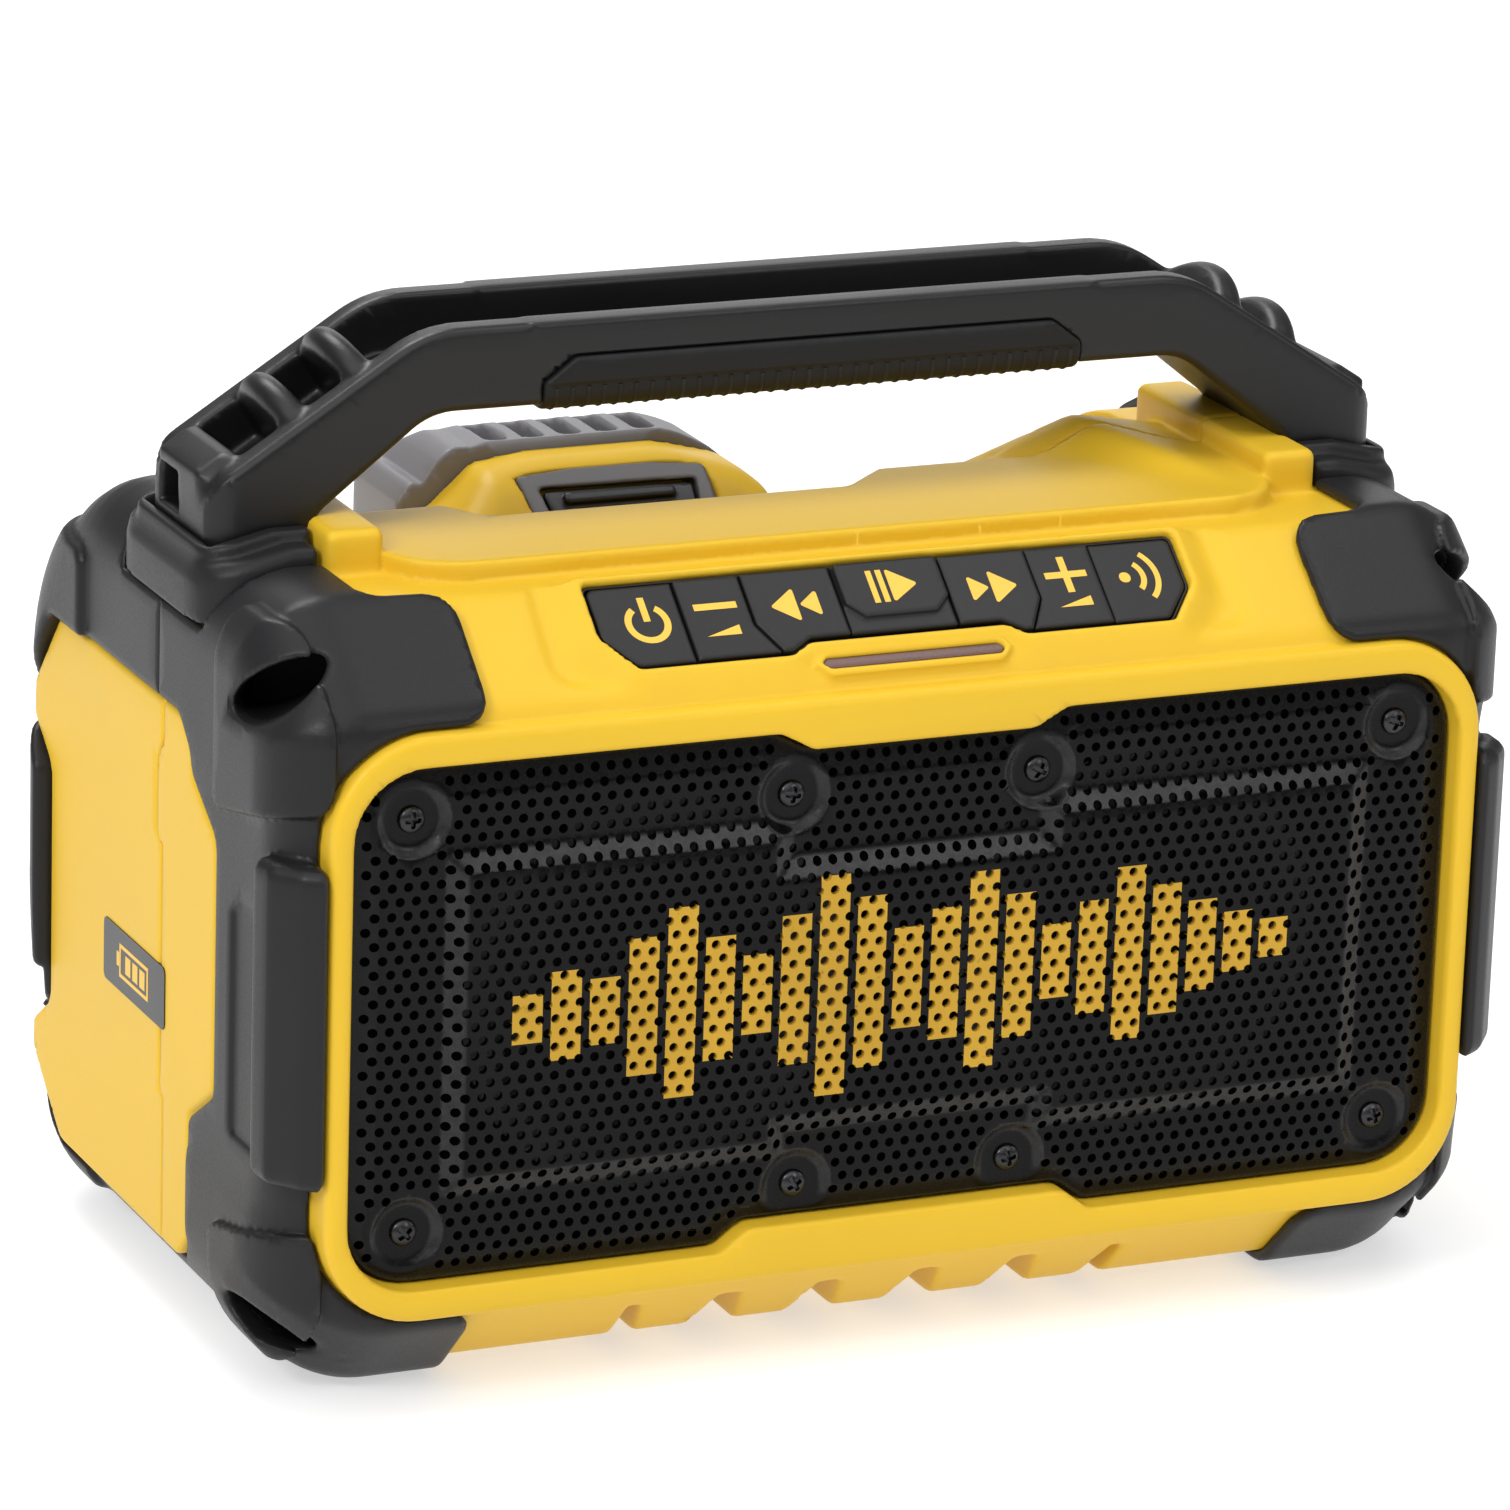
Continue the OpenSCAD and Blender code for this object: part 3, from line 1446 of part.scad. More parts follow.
module usb_socket() {
    color(steel) translate([port_x - 9, door_y - port_depth, port_z]) difference() {
        box([-7, -wall - port_post_l, -3.3], [7, 6, 3.3]);
        box([-6.4, -wall - 1, -2.6], [6.4, 7, 2.6]);
    }
}
module aux_jack() {
    color(black) translate([port_x + 11, door_y - port_depth, port_z]) rotate([-90, 0, 0]) difference() {
        translate([0, 0, -wall - port_post_l]) cylinder(r = 4, h = wall + port_post_l + 4);
        translate([0, 0, -wall - 1]) cylinder(r = 1.8, h = 30);
    }
}

front_housing();
rear_housing();
front_left_bumper();
front_right_bumper();
rear_left_bumper();
rear_right_bumper();
handle();
handle_grip();
left_handle_socket();
right_handle_socket();
handle_screws();
grille();
grille_screws();
seam_gasket();
case_screws();
left_basket();
left_magnet();
left_cone();
left_surround();
left_spider();
right_basket();
right_magnet();
right_cone();
right_surround();
right_spider();
driver_screws();
keypad_frame();
power_key();
volume_down_key();
previous_key();
play_key();
next_key();
volume_up_key();
pairing_key();
keypad_board();
keypad_board_screws();
status_lens();
main_board();
main_board_screws();
battery_dock();
dock_screws();
dock_blades();
battery_case();
battery_cover();
battery_latch();
latch_spring();
battery_cells();
port_door();
port_door_pin();
port_board();
usb_socket();
aux_jack();
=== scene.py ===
"""Looks of the jobsite speaker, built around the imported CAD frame."""
import json
import math
from functools import reduce

import bmesh
import bpy
import numpy as np
import openvdb
from mathutils import Matrix, Vector


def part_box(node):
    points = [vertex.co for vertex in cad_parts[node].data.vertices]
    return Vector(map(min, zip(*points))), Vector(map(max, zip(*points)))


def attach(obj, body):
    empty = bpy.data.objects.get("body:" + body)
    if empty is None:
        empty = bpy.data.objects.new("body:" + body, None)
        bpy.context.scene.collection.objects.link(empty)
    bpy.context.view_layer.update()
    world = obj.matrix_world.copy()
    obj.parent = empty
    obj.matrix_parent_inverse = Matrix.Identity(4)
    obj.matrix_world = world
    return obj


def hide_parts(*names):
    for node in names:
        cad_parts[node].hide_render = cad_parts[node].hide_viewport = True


bl_info = {
    "name": "Jobsite speaker",
    "version": (1, 0, 0),
    "blender": (4, 5, 0),
    "location": "View3D > Sidebar > Speaker",
    "description": "Moulded shells, perforated grille, keys and finishes of a jobsite speaker",
    "category": "Object",
}

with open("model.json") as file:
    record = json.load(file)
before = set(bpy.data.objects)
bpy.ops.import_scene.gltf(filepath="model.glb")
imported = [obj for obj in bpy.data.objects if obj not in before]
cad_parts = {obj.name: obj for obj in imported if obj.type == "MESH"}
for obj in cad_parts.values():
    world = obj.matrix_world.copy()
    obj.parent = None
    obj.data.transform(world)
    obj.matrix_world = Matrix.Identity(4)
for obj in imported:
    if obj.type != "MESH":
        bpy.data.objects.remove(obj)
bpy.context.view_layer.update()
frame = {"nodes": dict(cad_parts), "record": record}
NODES = frame["nodes"]

MM = 0.001
FAR = 400.0

# Measures of the CAD body, in millimetres
HALF_W, HALF_D = 128.0, 76.5
DECK_Z, FLOOR_GAP = 157.5, 3.5
SLOPE_RUN, SLOPE_RISE = 21.8, 17.5
SLOPE_A = math.atan2(SLOPE_RISE, SLOPE_RUN)
SKIRT_RUN, SKIRT_RISE = 18.0, 17.0
END_R, END_LOW_R = 14.0, 22.0
SEAM_Y = -5.0
WALL = 3.0
BEZEL_X, BEZEL_Z0, BEZEL_Z1, BEZEL_R, BEZEL_Y = 122.5, 20.5, 138.5, 20.0, -81.0
OPEN_X, OPEN_Z0, OPEN_Z1, OPEN_R = 118.0, 26.9, 132.1, 14.5
NOTCH_TOP, NOTCH_LOW = (23.5, 30.5, 3.8), (34.0, 40.0, 4.5)
RIM_Y, BAFFLE_Y, CAVITY_Y = -78.0, -69.5, -66.0
GRILLE_T = 1.2
FIELD_X, FIELD_Z0, FIELD_Z1, FIELD_H, FIELD_SLOPE = 99.0, 44.4, 114.6, 2.6, 5.0
RIGHT_GRILLE_SCREWS = [(105.0, 121.1), (105.0, 37.9), (26.3, 118.6), (23.2, 38.4)]
GRILLE_SCREWS = [(s*x, z) for s in (-1, 1) for x, z in RIGHT_GRILLE_SCREWS]
DIMPLE_R, DIMPLE_H = 7.0, 1.8
BASE_T, BUMPER_T, BAR_H, BAR_Z0, BAR_Z1 = 2.4, 3.5, 1.0, 49.0, 114.0
HANDLE_Y, HANDLE_HALF, HANDLE_Z, RAIL_Z, RAIL_T = -5.0, 18.25, 201.5, 184.8, 6.5
HANDLE_FLAT, LEG_OUT, LEG_IN = 76.0, 126.5, 105.5
SOCKET_OUT, SOCKET_IN, SOCKET_HALF, BLOCK_W = 131.5, 107.0, 28.0, 12.0
KEY_EDGES = (-62.5, -44.5, -30.5, -11.5, 11.5, 30.5, 44.5, 62.5)
KEY_NODES = ("power_key", "volume_down_key", "previous_key", "play_key", "next_key",
             "volume_up_key", "pairing_key")
LENS_V, LENS_HALF, LENS_H = 4.2, 19.5, 2.4
PACK_X, PACK_Y, PACK_D, PACK_Z0, PACK_Z1 = -22.0, 24.95, 50.5, 41.0, 157.0
PACK_SPLIT, BAY_HALF, BAY_Y, BAY_Z = 23.5, 39.0, 12.95, 40.0
PACK_BACK, COVER_Y = PACK_Y + PACK_D, PACK_Y + PACK_SPLIT
LATCH_RUN, LATCH_RISE = 14.0, 13.0
LATCH_A = math.atan2(LATCH_RISE, LATCH_RUN)
PORT_X, PORT_Z, PORT_W, PORT_H, DOOR_Y, PORT_DEPTH = 60.0, 80.0, 46.0, 28.0, 73.5, 15.0
DRIVER_X, DRIVER_Z, CUTOUT_R = 52.0, 79.5, 33.5
CASE_SCREWS = [(s*98.0, z) for s in (-1, 1) for z in (26.0, 124.0)]

# Measures of the looks alone, in millimetres
UNDER_DECK = 140
BODY_GAP = 0.05
PANEL_RISE = 1.4
BLOCK_RISE, BLOCK_OVER = 8.8, 2
TRAY_X, TRAY_Y, TRAY_R, TRAY_RISE = SOCKET_IN - BLOCK_W + 1, -HALF_D + SLOPE_RUN + 8, 16, 4
WING_X, WING_Z, WING_FILLET = 67.6, 168.8, 1.8
DECK_FALL, DECK_FALL_COS, DECK_HALF = 0.31, 0.955, 94
DISH_DEPTH, DISH_EDGE = 1.1, 3.4
SEAT_LIP, LENS_LIP = 2.1, 1.5
SKIRT_HALF, RIB_PITCH, RIB_HALF, RIB_FLARE = 54, 21.5, 5.4, 0.3
SLOT_DEPTH, SLOT_CLEAR, SLOT_SHADE_T = 13.2, 1.2, 1.0
PANEL_CLEAR, SOCKET_CLEAR, SOCKET_FOOT = 0.15, 0.4, 10.5
BUMPER_EDGE, PANEL_EDGE = 1.3, 0.5
LEG_POCKETS, LEG_POCKET_DEPTH = ((18.4, 27.4), (33.7, 44.0)), 9.5
LEG_TONGUES, TONGUE_R, TONGUE_DEPTH, TONGUE_HALF = (15.2, 30.5), 3.2, 10.5, 15.0
LEG_SHOULDER, SHOULDER_HALF, LEG_SWELL = (43.6, 56), 12.5, 0.4
GRIP_T, GRIP_LOW, GRIP_R = 0.8, 183.4, 4.5
RIB_R, RIB_TOP, RIB_SPAN = 0.6, 188.4, 111
EDGE_GAP, EDGE_DROP, EDGE_ROLL, DIMPLE_RAMP = 0.35, 2.0, 6.5, 1.8
HOLE_EDGE, HOLE_SCREW, HOLE_SIDES, DRILL_LENGTH = 2.4, 1.2, 10, 14
CROSS_HALF, CROSS_ARM, CROSS_FLOOR = 0.42, 1.6, 0.35
KEY_GAP, KEY_TURN, KEY_TURN_V = 0.16, 0.55, 14.4
KEY_LEVELS = (1.0, 1.5, 1.9, 1.6, 1.9, 1.5, 1.0)
PLAY_LEVEL = 2.7
ICON_V, INK_LOW, INK_HIGH = 17.8, -0.15, 0.05
FLANK_GROOVE, FLANK_STEP = 36.8, 36.6
VENT_X, VENT_PITCH, VENT_HALF, VENT_COUNT = -37.4, 8.2, 2.2, 5
CONTACT_PITCH, CONTACT_HALF, CONTACT_COUNT = 10, 1.2, 4

# Screws: radius of the head, radius of the shank and length
GRILLE_SCREW, CASE_SCREW = (2.75, 1.5, 9.0), (3.6, 2.0, 30.0)

# Planes of the wing through its crest: slopes across and along, and the factor that turns a
# height over the plane into a distance
WING_RAMP, WING_RIGHT = (0.507, 0.449, 0.828), (0.3, 0.028, 0.957)
WING_REAR = (0.511, 0.859, 0.72)

# Strap slots of a left corner: place, aim and tilt in degrees, half width and half height
UPPER_SLOT = (-HALF_W + 2.8, -HALF_D + 18.1, DECK_Z - 13.5), -38, -33, 11.2, 4.4
LOWER_SLOT = (-HALF_W + 4.2, -HALF_D + 20, FLOOR_GAP + 12), -60, 14, 10.6, 4.2
STRAP_SLOTS = (UPPER_SLOT, LOWER_SLOT)

# Level bars printed on the grille: ends and middle of the row and half of the tallest bar, in
# metres, the part of its pitch that a bar fills to each side, and the bars' heights
PRINT_X0, PRINT_X1, PRINT_Z, PRINT_HALF, PRINT_FILL = -0.086, 0.082, 0.08, 0.0225, 0.39
LEVELS = (0.22, 0.4, 0.3, 0.62, 0.86, 0.56, 0.36, 0.68, 1.0, 0.78, 0.46, 0.6, 0.9, 0.66, 0.34,
          0.52, 0.8, 0.6, 0.42, 0.28, 0.18)

# Stage in metres: the camera that was solved from the photograph, and the soft lamps with
# their place, size and share of the key light
CAMERA_AT, CAMERA_VIEW = (-0.6407, -1.4251, 0.5821), (0.39195, 0.87173, -0.29404)
CAMERA_ROLL, CAMERA_LENS, CAMERA_SENSOR = math.radians(1.91), 191.92, 36.0
LIGHT_AIM, FLOOR_HALF = Vector((0, -0.03, 0.09)), 6
SUN_AT, SUN_ANGLE = (-0.5, -0.5, 1.2), math.radians(70)
LAMPS = (
    ("key", (-1.05, -0.6, 0.85), 0.3, 1.15),
    ("front", (0.55, -1.1, 0.9), 0.4, 0.5),
    ("over", (0.48, -0.15, 1.2), 0.6, 0.6),
    ("back", (0.66, 1.45, 0.7), 0.9, 0.6),
    ("right", (1.2, -0.5, 0.6), 0.5, 0.3),
    ("top", (-0.15, 0.75, 1.15), 0.5, 1.5),
)


# Outlines and distance forms, in millimetres

def rounded(corners, turn=8.0):
    """Points of a closed outline whose corners (u, v, radius) are rounded with arcs."""
    out, n = [], len(corners)
    for i, (u, v, r) in enumerate(corners):
        at = np.array((u, v))
        if r == 0:
            out.append((u, v))
            continue
        a = np.array(corners[i - 1][:2]) - at
        b = np.array(corners[(i + 1) % n][:2]) - at
        a, b = a/np.linalg.norm(a), b/np.linalg.norm(b)
        half = math.acos(max(-1.0, min(1.0, float(a @ b))))/2
        mid = (a + b)/np.linalg.norm(a + b)
        centre = at + mid*r/math.sin(half)
        first, last = at + a*r/math.tan(half) - centre, at + b*r/math.tan(half) - centre
        a0 = math.atan2(first[1], first[0])
        sweep = (math.atan2(last[1], last[0]) - a0 + 3*math.pi) % (2*math.pi) - math.pi
        steps = max(2, math.ceil(abs(math.degrees(sweep))/turn))
        for k in range(steps + 1):
            angle = a0 + sweep*k/steps
            out.append(tuple(centre + r*np.array((math.cos(angle), math.sin(angle)))))
    return out


def box_line(u0, v0, u1, v1, r, turn=8.0):
    """Outline of a rectangle with equal rounds, given by two opposite corners."""
    return rounded([(u0, v0, r), (u1, v0, r), (u1, v1, r), (u0, v1, r)], turn)


def rim(points, u, v):
    """Signed distance to a closed outline, below zero inside."""
    u, v = np.broadcast_arrays(np.asarray(u, np.float32), np.asarray(v, np.float32))
    best = np.full(u.shape, 1e9, np.float32)
    inside = np.zeros(u.shape, bool)
    for (au, av), (bu, bv) in zip(points, points[1:] + points[:1]):
        eu, ev = bu - au, bv - av
        if eu*eu + ev*ev < 1e-12:
            continue
        wu, wv = u - au, v - av
        t = np.clip((wu*eu + wv*ev)/(eu*eu + ev*ev), 0, 1)
        best = np.minimum(best, (wu - eu*t)**2 + (wv - ev*t)**2)
        inside ^= ((av > v) != (bv > v)) & (u < eu*(v - av)/(ev if ev else 1e-9) + au)
    return np.where(inside, -1, 1).astype(np.float32)*np.sqrt(best)


def within(*forms):
    """What lies in all the forms, with sharp edges."""
    return reduce(np.maximum, forms)


def together(*forms):
    """All the forms in one, with sharp edges."""
    return reduce(np.minimum, forms)


def without(a, b):
    """Form a without form b, with sharp edges."""
    return np.maximum(a, -b)


def blunt(a, b, r):
    """What lies in both forms, with their shared edge rounded to radius r."""
    return np.minimum(-r, np.maximum(a, b)) + np.hypot(np.maximum(a + r, 0), np.maximum(b + r, 0))


def join(a, b, r):
    """Both forms together, with a fillet of radius r between them."""
    return -blunt(-a, -b, r)


def carve(a, b, r):
    """Form a without form b, with the cut's edge rounded to radius r."""
    return blunt(a, -b, r)


def slab(v, low, high):
    """Layer between two values."""
    return np.maximum(low - v, v - high)


def brick(c, low, high, r):
    """Box with all edges rounded to radius r."""
    far = [np.abs(p - (a + b)/2) - (b - a)/2 + r for p, a, b in zip((c.x, c.y, c.z), low, high)]
    out = np.sqrt(sum(np.maximum(f, 0)**2 for f in far))
    return out + np.minimum(within(*far), 0) - r


def ease(v, low, high):
    """Smooth step from 0 at low to 1 at high."""
    t = np.clip((v - low)/(high - low), 0, 1)
    return t*t*(3 - 2*t)


SIDE_LINE = rounded([
    (-HALF_D, FLOOR_GAP + SKIRT_RISE, 8), (-HALF_D, DECK_Z - SLOPE_RISE, 6),
    (-HALF_D + SLOPE_RUN, DECK_Z, 5), (HALF_D, DECK_Z, 46), (HALF_D, FLOOR_GAP, 26),
    (-HALF_D + SKIRT_RUN, FLOOR_GAP, 8)])
PANEL_LINE = rounded([
    (-16, 127, 4), (-22.5, 121, 4), (-22.5, 116, 3), (-36.5, 107, 4), (-36.5, 55, 4), (-22.5, 46, 3),
    (-22.5, 20, 4), (-16, 14, 4), (55, 14, 6), (73, 29, 5), (73, 36, 3), (62.5, 43, 4), (62.5, 93, 4),
    (73, 101, 3), (73, 109, 5), (57, 127, 6)])
OPENING_LINE = rounded([
    (-OPEN_X, OPEN_Z1, OPEN_R), (-NOTCH_TOP[1], OPEN_Z1, 4),
    (-NOTCH_TOP[0], OPEN_Z1 - NOTCH_TOP[2], 4), (NOTCH_TOP[0], OPEN_Z1 - NOTCH_TOP[2], 4),
    (NOTCH_TOP[1], OPEN_Z1, 4), (OPEN_X, OPEN_Z1, OPEN_R),
    (OPEN_X, OPEN_Z0, OPEN_R), (NOTCH_LOW[1], OPEN_Z0, 4),
    (NOTCH_LOW[0], OPEN_Z0 + NOTCH_LOW[2], 4), (-NOTCH_LOW[0], OPEN_Z0 + NOTCH_LOW[2], 4),
    (-NOTCH_LOW[1], OPEN_Z0, 4), (-OPEN_X, OPEN_Z0, OPEN_R)])
BEZEL_LINE = box_line(-BEZEL_X, BEZEL_Z1, BEZEL_X, BEZEL_Z0, BEZEL_R)


def keypad_line(grow):
    """Outline of the keypad across and up the slope, grown by a distance."""
    half = [(63.2 + grow, 27.0 + grow, 1.5), (63.2 + grow, 14.5, 3), (57.0 + 0.5*grow, 6.6 - grow, 2),
            (25.0 + 0.4*grow, 6.6 - grow, 0.8), (20.6 + 0.4*grow, 9.2 - grow, 0.8)]
    return rounded([(-u, v, r) for u, v, r in half] + half[::-1])


def lens_line(grow):
    """Outline of the status lens, a bar with pointed ends, grown by a distance."""
    end, half = LENS_HALF - LENS_H/2, LENS_H/2
    return [(-LENS_HALF - grow, LENS_V), (-end, LENS_V + half + grow), (end, LENS_V + half + grow),
            (LENS_HALF + grow, LENS_V), (end, LENS_V - half - grow), (-end, LENS_V - half - grow)]


class Cells:
    """Block of cells in which a moulded form is worked out."""

    def __init__(self, low, high, step):
        self.step = step
        self.low = np.array(low, float) - 3*step
        counts = np.ceil((np.array(high, float) + 3*step - self.low)/step).astype(int) + 1
        axes = [(a + step*np.arange(n)).astype(np.float32) for a, n in zip(self.low, counts)]
        self.x, self.y, self.z = np.meshgrid(*axes, indexing="ij", sparse=True)
        self.shape = tuple(int(n) for n in counts)
        self.side = None

    def body(self, grow):
        """The moulded body, grown by an even distance."""
        if self.side is None:
            self.side = rim(SIDE_LINE, self.y, self.z)
        low = 1 - ease(self.z, 20, 70)
        radius = END_R + grow + (END_LOW_R - END_R)*low
        return blunt(self.side - grow, np.abs(self.x) - HALF_W - grow, radius)

    def slope(self):
        """Distances up the front slope and out of it."""
        dy, dz = self.y + HALF_D, self.z - DECK_Z + SLOPE_RISE
        return (dy*math.cos(SLOPE_A) + dz*math.sin(SLOPE_A),
                -dy*math.sin(SLOPE_A) + dz*math.cos(SLOPE_A))

    def latch_face(self):
        """Distances up the battery's sloped face and out of it."""
        dy, dz = self.y - PACK_Y, self.z - PACK_Z1 + LATCH_RISE
        return (dy*math.cos(LATCH_A) + dz*math.sin(LATCH_A),
                -dy*math.sin(LATCH_A) + dz*math.cos(LATCH_A))


class Flip:
    """The same cells seen in a mirror, for forms written for one side."""

    def __init__(self, c):
        self.x, self.y, self.z = -c.x, c.y, c.z


def lash_slot(c, slot, depth, clear):
    """Pocket for a strap hook in a left front corner."""
    at, aim, tilt, half, tall = slot
    turn = Matrix.Rotation(math.radians(aim), 3, "Z") @ Matrix.Rotation(math.radians(tilt), 3, "Y")
    px, py, pz = c.x - at[0], c.y - at[1], c.z - at[2]
    lx, ly, lz = (turn[0][k]*px + turn[1][k]*py + turn[2][k]*pz for k in range(3))
    mouth = (np.hypot(lx/half, lz/tall) - 1)*tall - clear
    return within(mouth, ly - depth)


def all_lash_slots(c, depth, clear):
    """The strap pockets of both front corners."""
    return together(*(lash_slot(side, slot, depth, clear) for side in (c, Flip(c)) for slot in STRAP_SLOTS))


def seam_line(z):
    """Place of the joint between the two housings, which jogs on the side panels."""
    return SEAM_Y + 2.6*ease(z, 96, 99) - 3.2*ease(z, 112, 120) - 2.2*(1 - ease(z, 44, 47))


# Meshes and pieces

def mesh_of(name, points, faces3, faces4):
    """Mesh of points, triangles and quads given as arrays."""
    me = bpy.data.meshes.new(name)
    loops = np.concatenate([faces3.ravel(), faces4.ravel()]).astype(np.int32)
    sizes = np.concatenate([np.full(len(faces3), 3), np.full(len(faces4), 4)])
    starts = np.concatenate([[0], np.cumsum(sizes)[:-1]]).astype(np.int32)
    me.vertices.add(len(points))
    me.vertices.foreach_set("co", np.asarray(points, np.float32).ravel())
    me.loops.add(len(loops))
    me.loops.foreach_set("vertex_index", loops)
    me.polygons.add(len(sizes))
    me.polygons.foreach_set("loop_start", starts)
    me.update(calc_edges=True)
    me.validate()
    return me


def on_slope(p):
    """Points given across, up and out of the front slope, in the part's frame."""
    sin, cos = math.sin(SLOPE_A), math.cos(SLOPE_A)
    p = np.asarray(p, float)
    return np.stack([p[..., 0], -HALF_D + p[..., 1]*cos - p[..., 2]*sin,
                     DECK_Z - SLOPE_RISE + p[..., 1]*sin + p[..., 2]*cos], -1)


def on_left_panel(p):
    """Point given along, up and out of the left side panel, in the part's frame."""
    return (-HALF_W - PANEL_RISE - p[2], p[0], p[1])


def cast(name, c, gap, adapt=0.01, mirror=False, place=None):
    """Mesh of the surface where a form's distance is zero, in metres."""
    band = 3*c.step
    grid = openvdb.FloatGrid(band)
    full = np.broadcast_to(gap, c.shape)
    grid.copyFromArray(np.ascontiguousarray(np.clip(full, -band, band), np.float32))
    points, tris, quads = grid.convertToPolygons(isovalue=0.0, adaptivity=adapt)
    if not len(points):
        raise RuntimeError(f"{name} came out empty")
    points = points*c.step + c.low
    points = (points if place is None else place(points))*MM
    tris, quads = np.asarray(tris, np.int64), np.asarray(quads, np.int64)
    volume = 0.0
    for f in (tris, quads[:, [0, 1, 2]], quads[:, [0, 2, 3]]):
        if len(f):
            across = np.cross(points[f[:, 1]], points[f[:, 2]])
            volume += np.einsum("ij,ij->i", points[f[:, 0]], across).sum()
    if mirror:
        points = points*(-1, 1, 1)
    if (volume < 0) != mirror:
        tris, quads = tris[:, ::-1], quads[:, ::-1]
    return mesh_of(name, points, tris, quads)


def piece(name, me, finish, body="cabinet", slot=None, replaces=(), smooth=True):
    """Object with a finish that rides on a body; the slot argument is not used."""
    slot = slot or finish
    ob = bpy.data.objects.new(name, me)
    bpy.context.scene.collection.objects.link(ob)
    me.materials.clear()
    me.materials.append(FINISH[finish])
    if smooth:
        me.shade_smooth()
    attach(ob, body)
    if replaces:
        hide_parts(*replaces)
    return ob


def sheet_mesh(name, shapes, low, high, place):
    """Flat shapes given as outlines, from depth low to high, put in place by a function of the point."""
    bm = bmesh.new()
    for points in shapes:
        ends = [[bm.verts.new(Vector(place((u, v, w)))*MM) for u, v in points] for w in (low, high)]
        n = len(points)
        bm.faces.new(ends[0][::-1])
        bm.faces.new(ends[1])
        for i in range(n):
            k = (i + 1) % n
            bm.faces.new((ends[0][i], ends[0][k], ends[1][k], ends[1][i]))
    bmesh.ops.recalc_face_normals(bm, faces=bm.faces)
    bmesh.ops.triangulate(bm, faces=[f for f in bm.faces if len(f.verts) > 4])
    me = bpy.data.meshes.new(name)
    bm.to_mesh(me)
    bm.free()
    return me


def soften(source, me, width, segments, profile, turn=30.0):
    """Writes the shape of a source mesh into another, with its sharp edges rounded."""
    bm = bmesh.new()
    bm.from_mesh(source)
    bmesh.ops.remove_doubles(bm, verts=bm.verts, dist=2e-6)
    bmesh.ops.dissolve_limit(bm, angle_limit=math.radians(1.0), verts=bm.verts, edges=bm.edges)
    if width:
        sharp = [e for e in bm.edges if e.is_manifold and e.calc_face_angle(0) > math.radians(turn)]
        bmesh.ops.bevel(bm, geom=sharp, offset=width*MM, segments=segments, profile=profile,
                        affect="EDGES", clamp_overlap=True)
    bmesh.ops.triangulate(bm, faces=[f for f in bm.faces if len(f.verts) > 4])
    bm.to_mesh(me)
    bm.free()
    me.shade_smooth()
    me.set_sharp_from_angle(angle=math.radians(turn))


# Node trees and finishes

class Tree:
    """Short way to write the nodes of a tree."""

    def add(self, kind, inputs=None, **fields):
        node = self.tree.nodes.new(kind)
        for key, value in fields.items():
            setattr(node, key, value)
        for key, value in (inputs or {}).items():
            self.put(node.inputs[key], value)
        return node

    def put(self, socket, value):
        if isinstance(value, bpy.types.NodeSocket):
            self.tree.links.new(value, socket)
        else:
            socket.default_value = value

    def math(self, kind, a, b=0.0, clamp=False):
        return self.add("ShaderNodeMath", {0: a, 1: b}, operation=kind, use_clamp=clamp).outputs[0]


class Maker(Tree):
    """Material with a principled shader, on object coordinates."""

    def __init__(self, name):
        old = bpy.data.materials.get(name)
        if old:
            bpy.data.materials.remove(old)
        self.mat = bpy.data.materials.new(name)
        self.mat.use_nodes = True
        self.tree = self.mat.node_tree
        self.shader = self.tree.nodes["Principled BSDF"]
        self.where = self.add("ShaderNodeTexCoord").outputs["Object"]

    def noise(self, scale, detail=2.0, rough=0.5):
        return self.add("ShaderNodeTexNoise", {
            "Vector": self.where, "Scale": scale, "Detail": detail, "Roughness": rough}).outputs["Fac"]

    def spread(self, value, low, high, to_low, to_high):
        return self.add("ShaderNodeMapRange", {
            "Value": value, "From Min": low, "From Max": high,
            "To Min": to_low, "To Max": to_high}).outputs[0]

    def cloudy(self, noise, low=0.0, high=1.0):
        """A noise's usual range stretched to the given one."""
        return self.spread(noise, 0.3, 0.7, low, high)

    def blend(self, share, a, b):
        return self.add("ShaderNodeMix", {"Factor": share, "A": a, "B": b},
                        data_type="RGBA").outputs["Result"]

    def span(self, value, middle, half):
        """One where a value lies within half of the middle, else zero."""
        return self.math("LESS_THAN", self.math("ABSOLUTE", self.math("SUBTRACT", value, middle)), half)

    def bump(self, height, strength, distance):
        node = self.add("ShaderNodeBump", {"Height": height, "Strength": strength, "Distance": distance})
        self.tree.links.new(node.outputs[0], self.shader.inputs["Normal"])

    def set(self, **sockets):
        for key, value in sockets.items():
            self.put(self.shader.inputs[key.replace("_", " ").title().replace("Ior", "IOR")], value)


def rgba(colour, gain=1.0):
    return tuple(min(1.0, c*gain) for c in colour[:3]) + (1.0,)


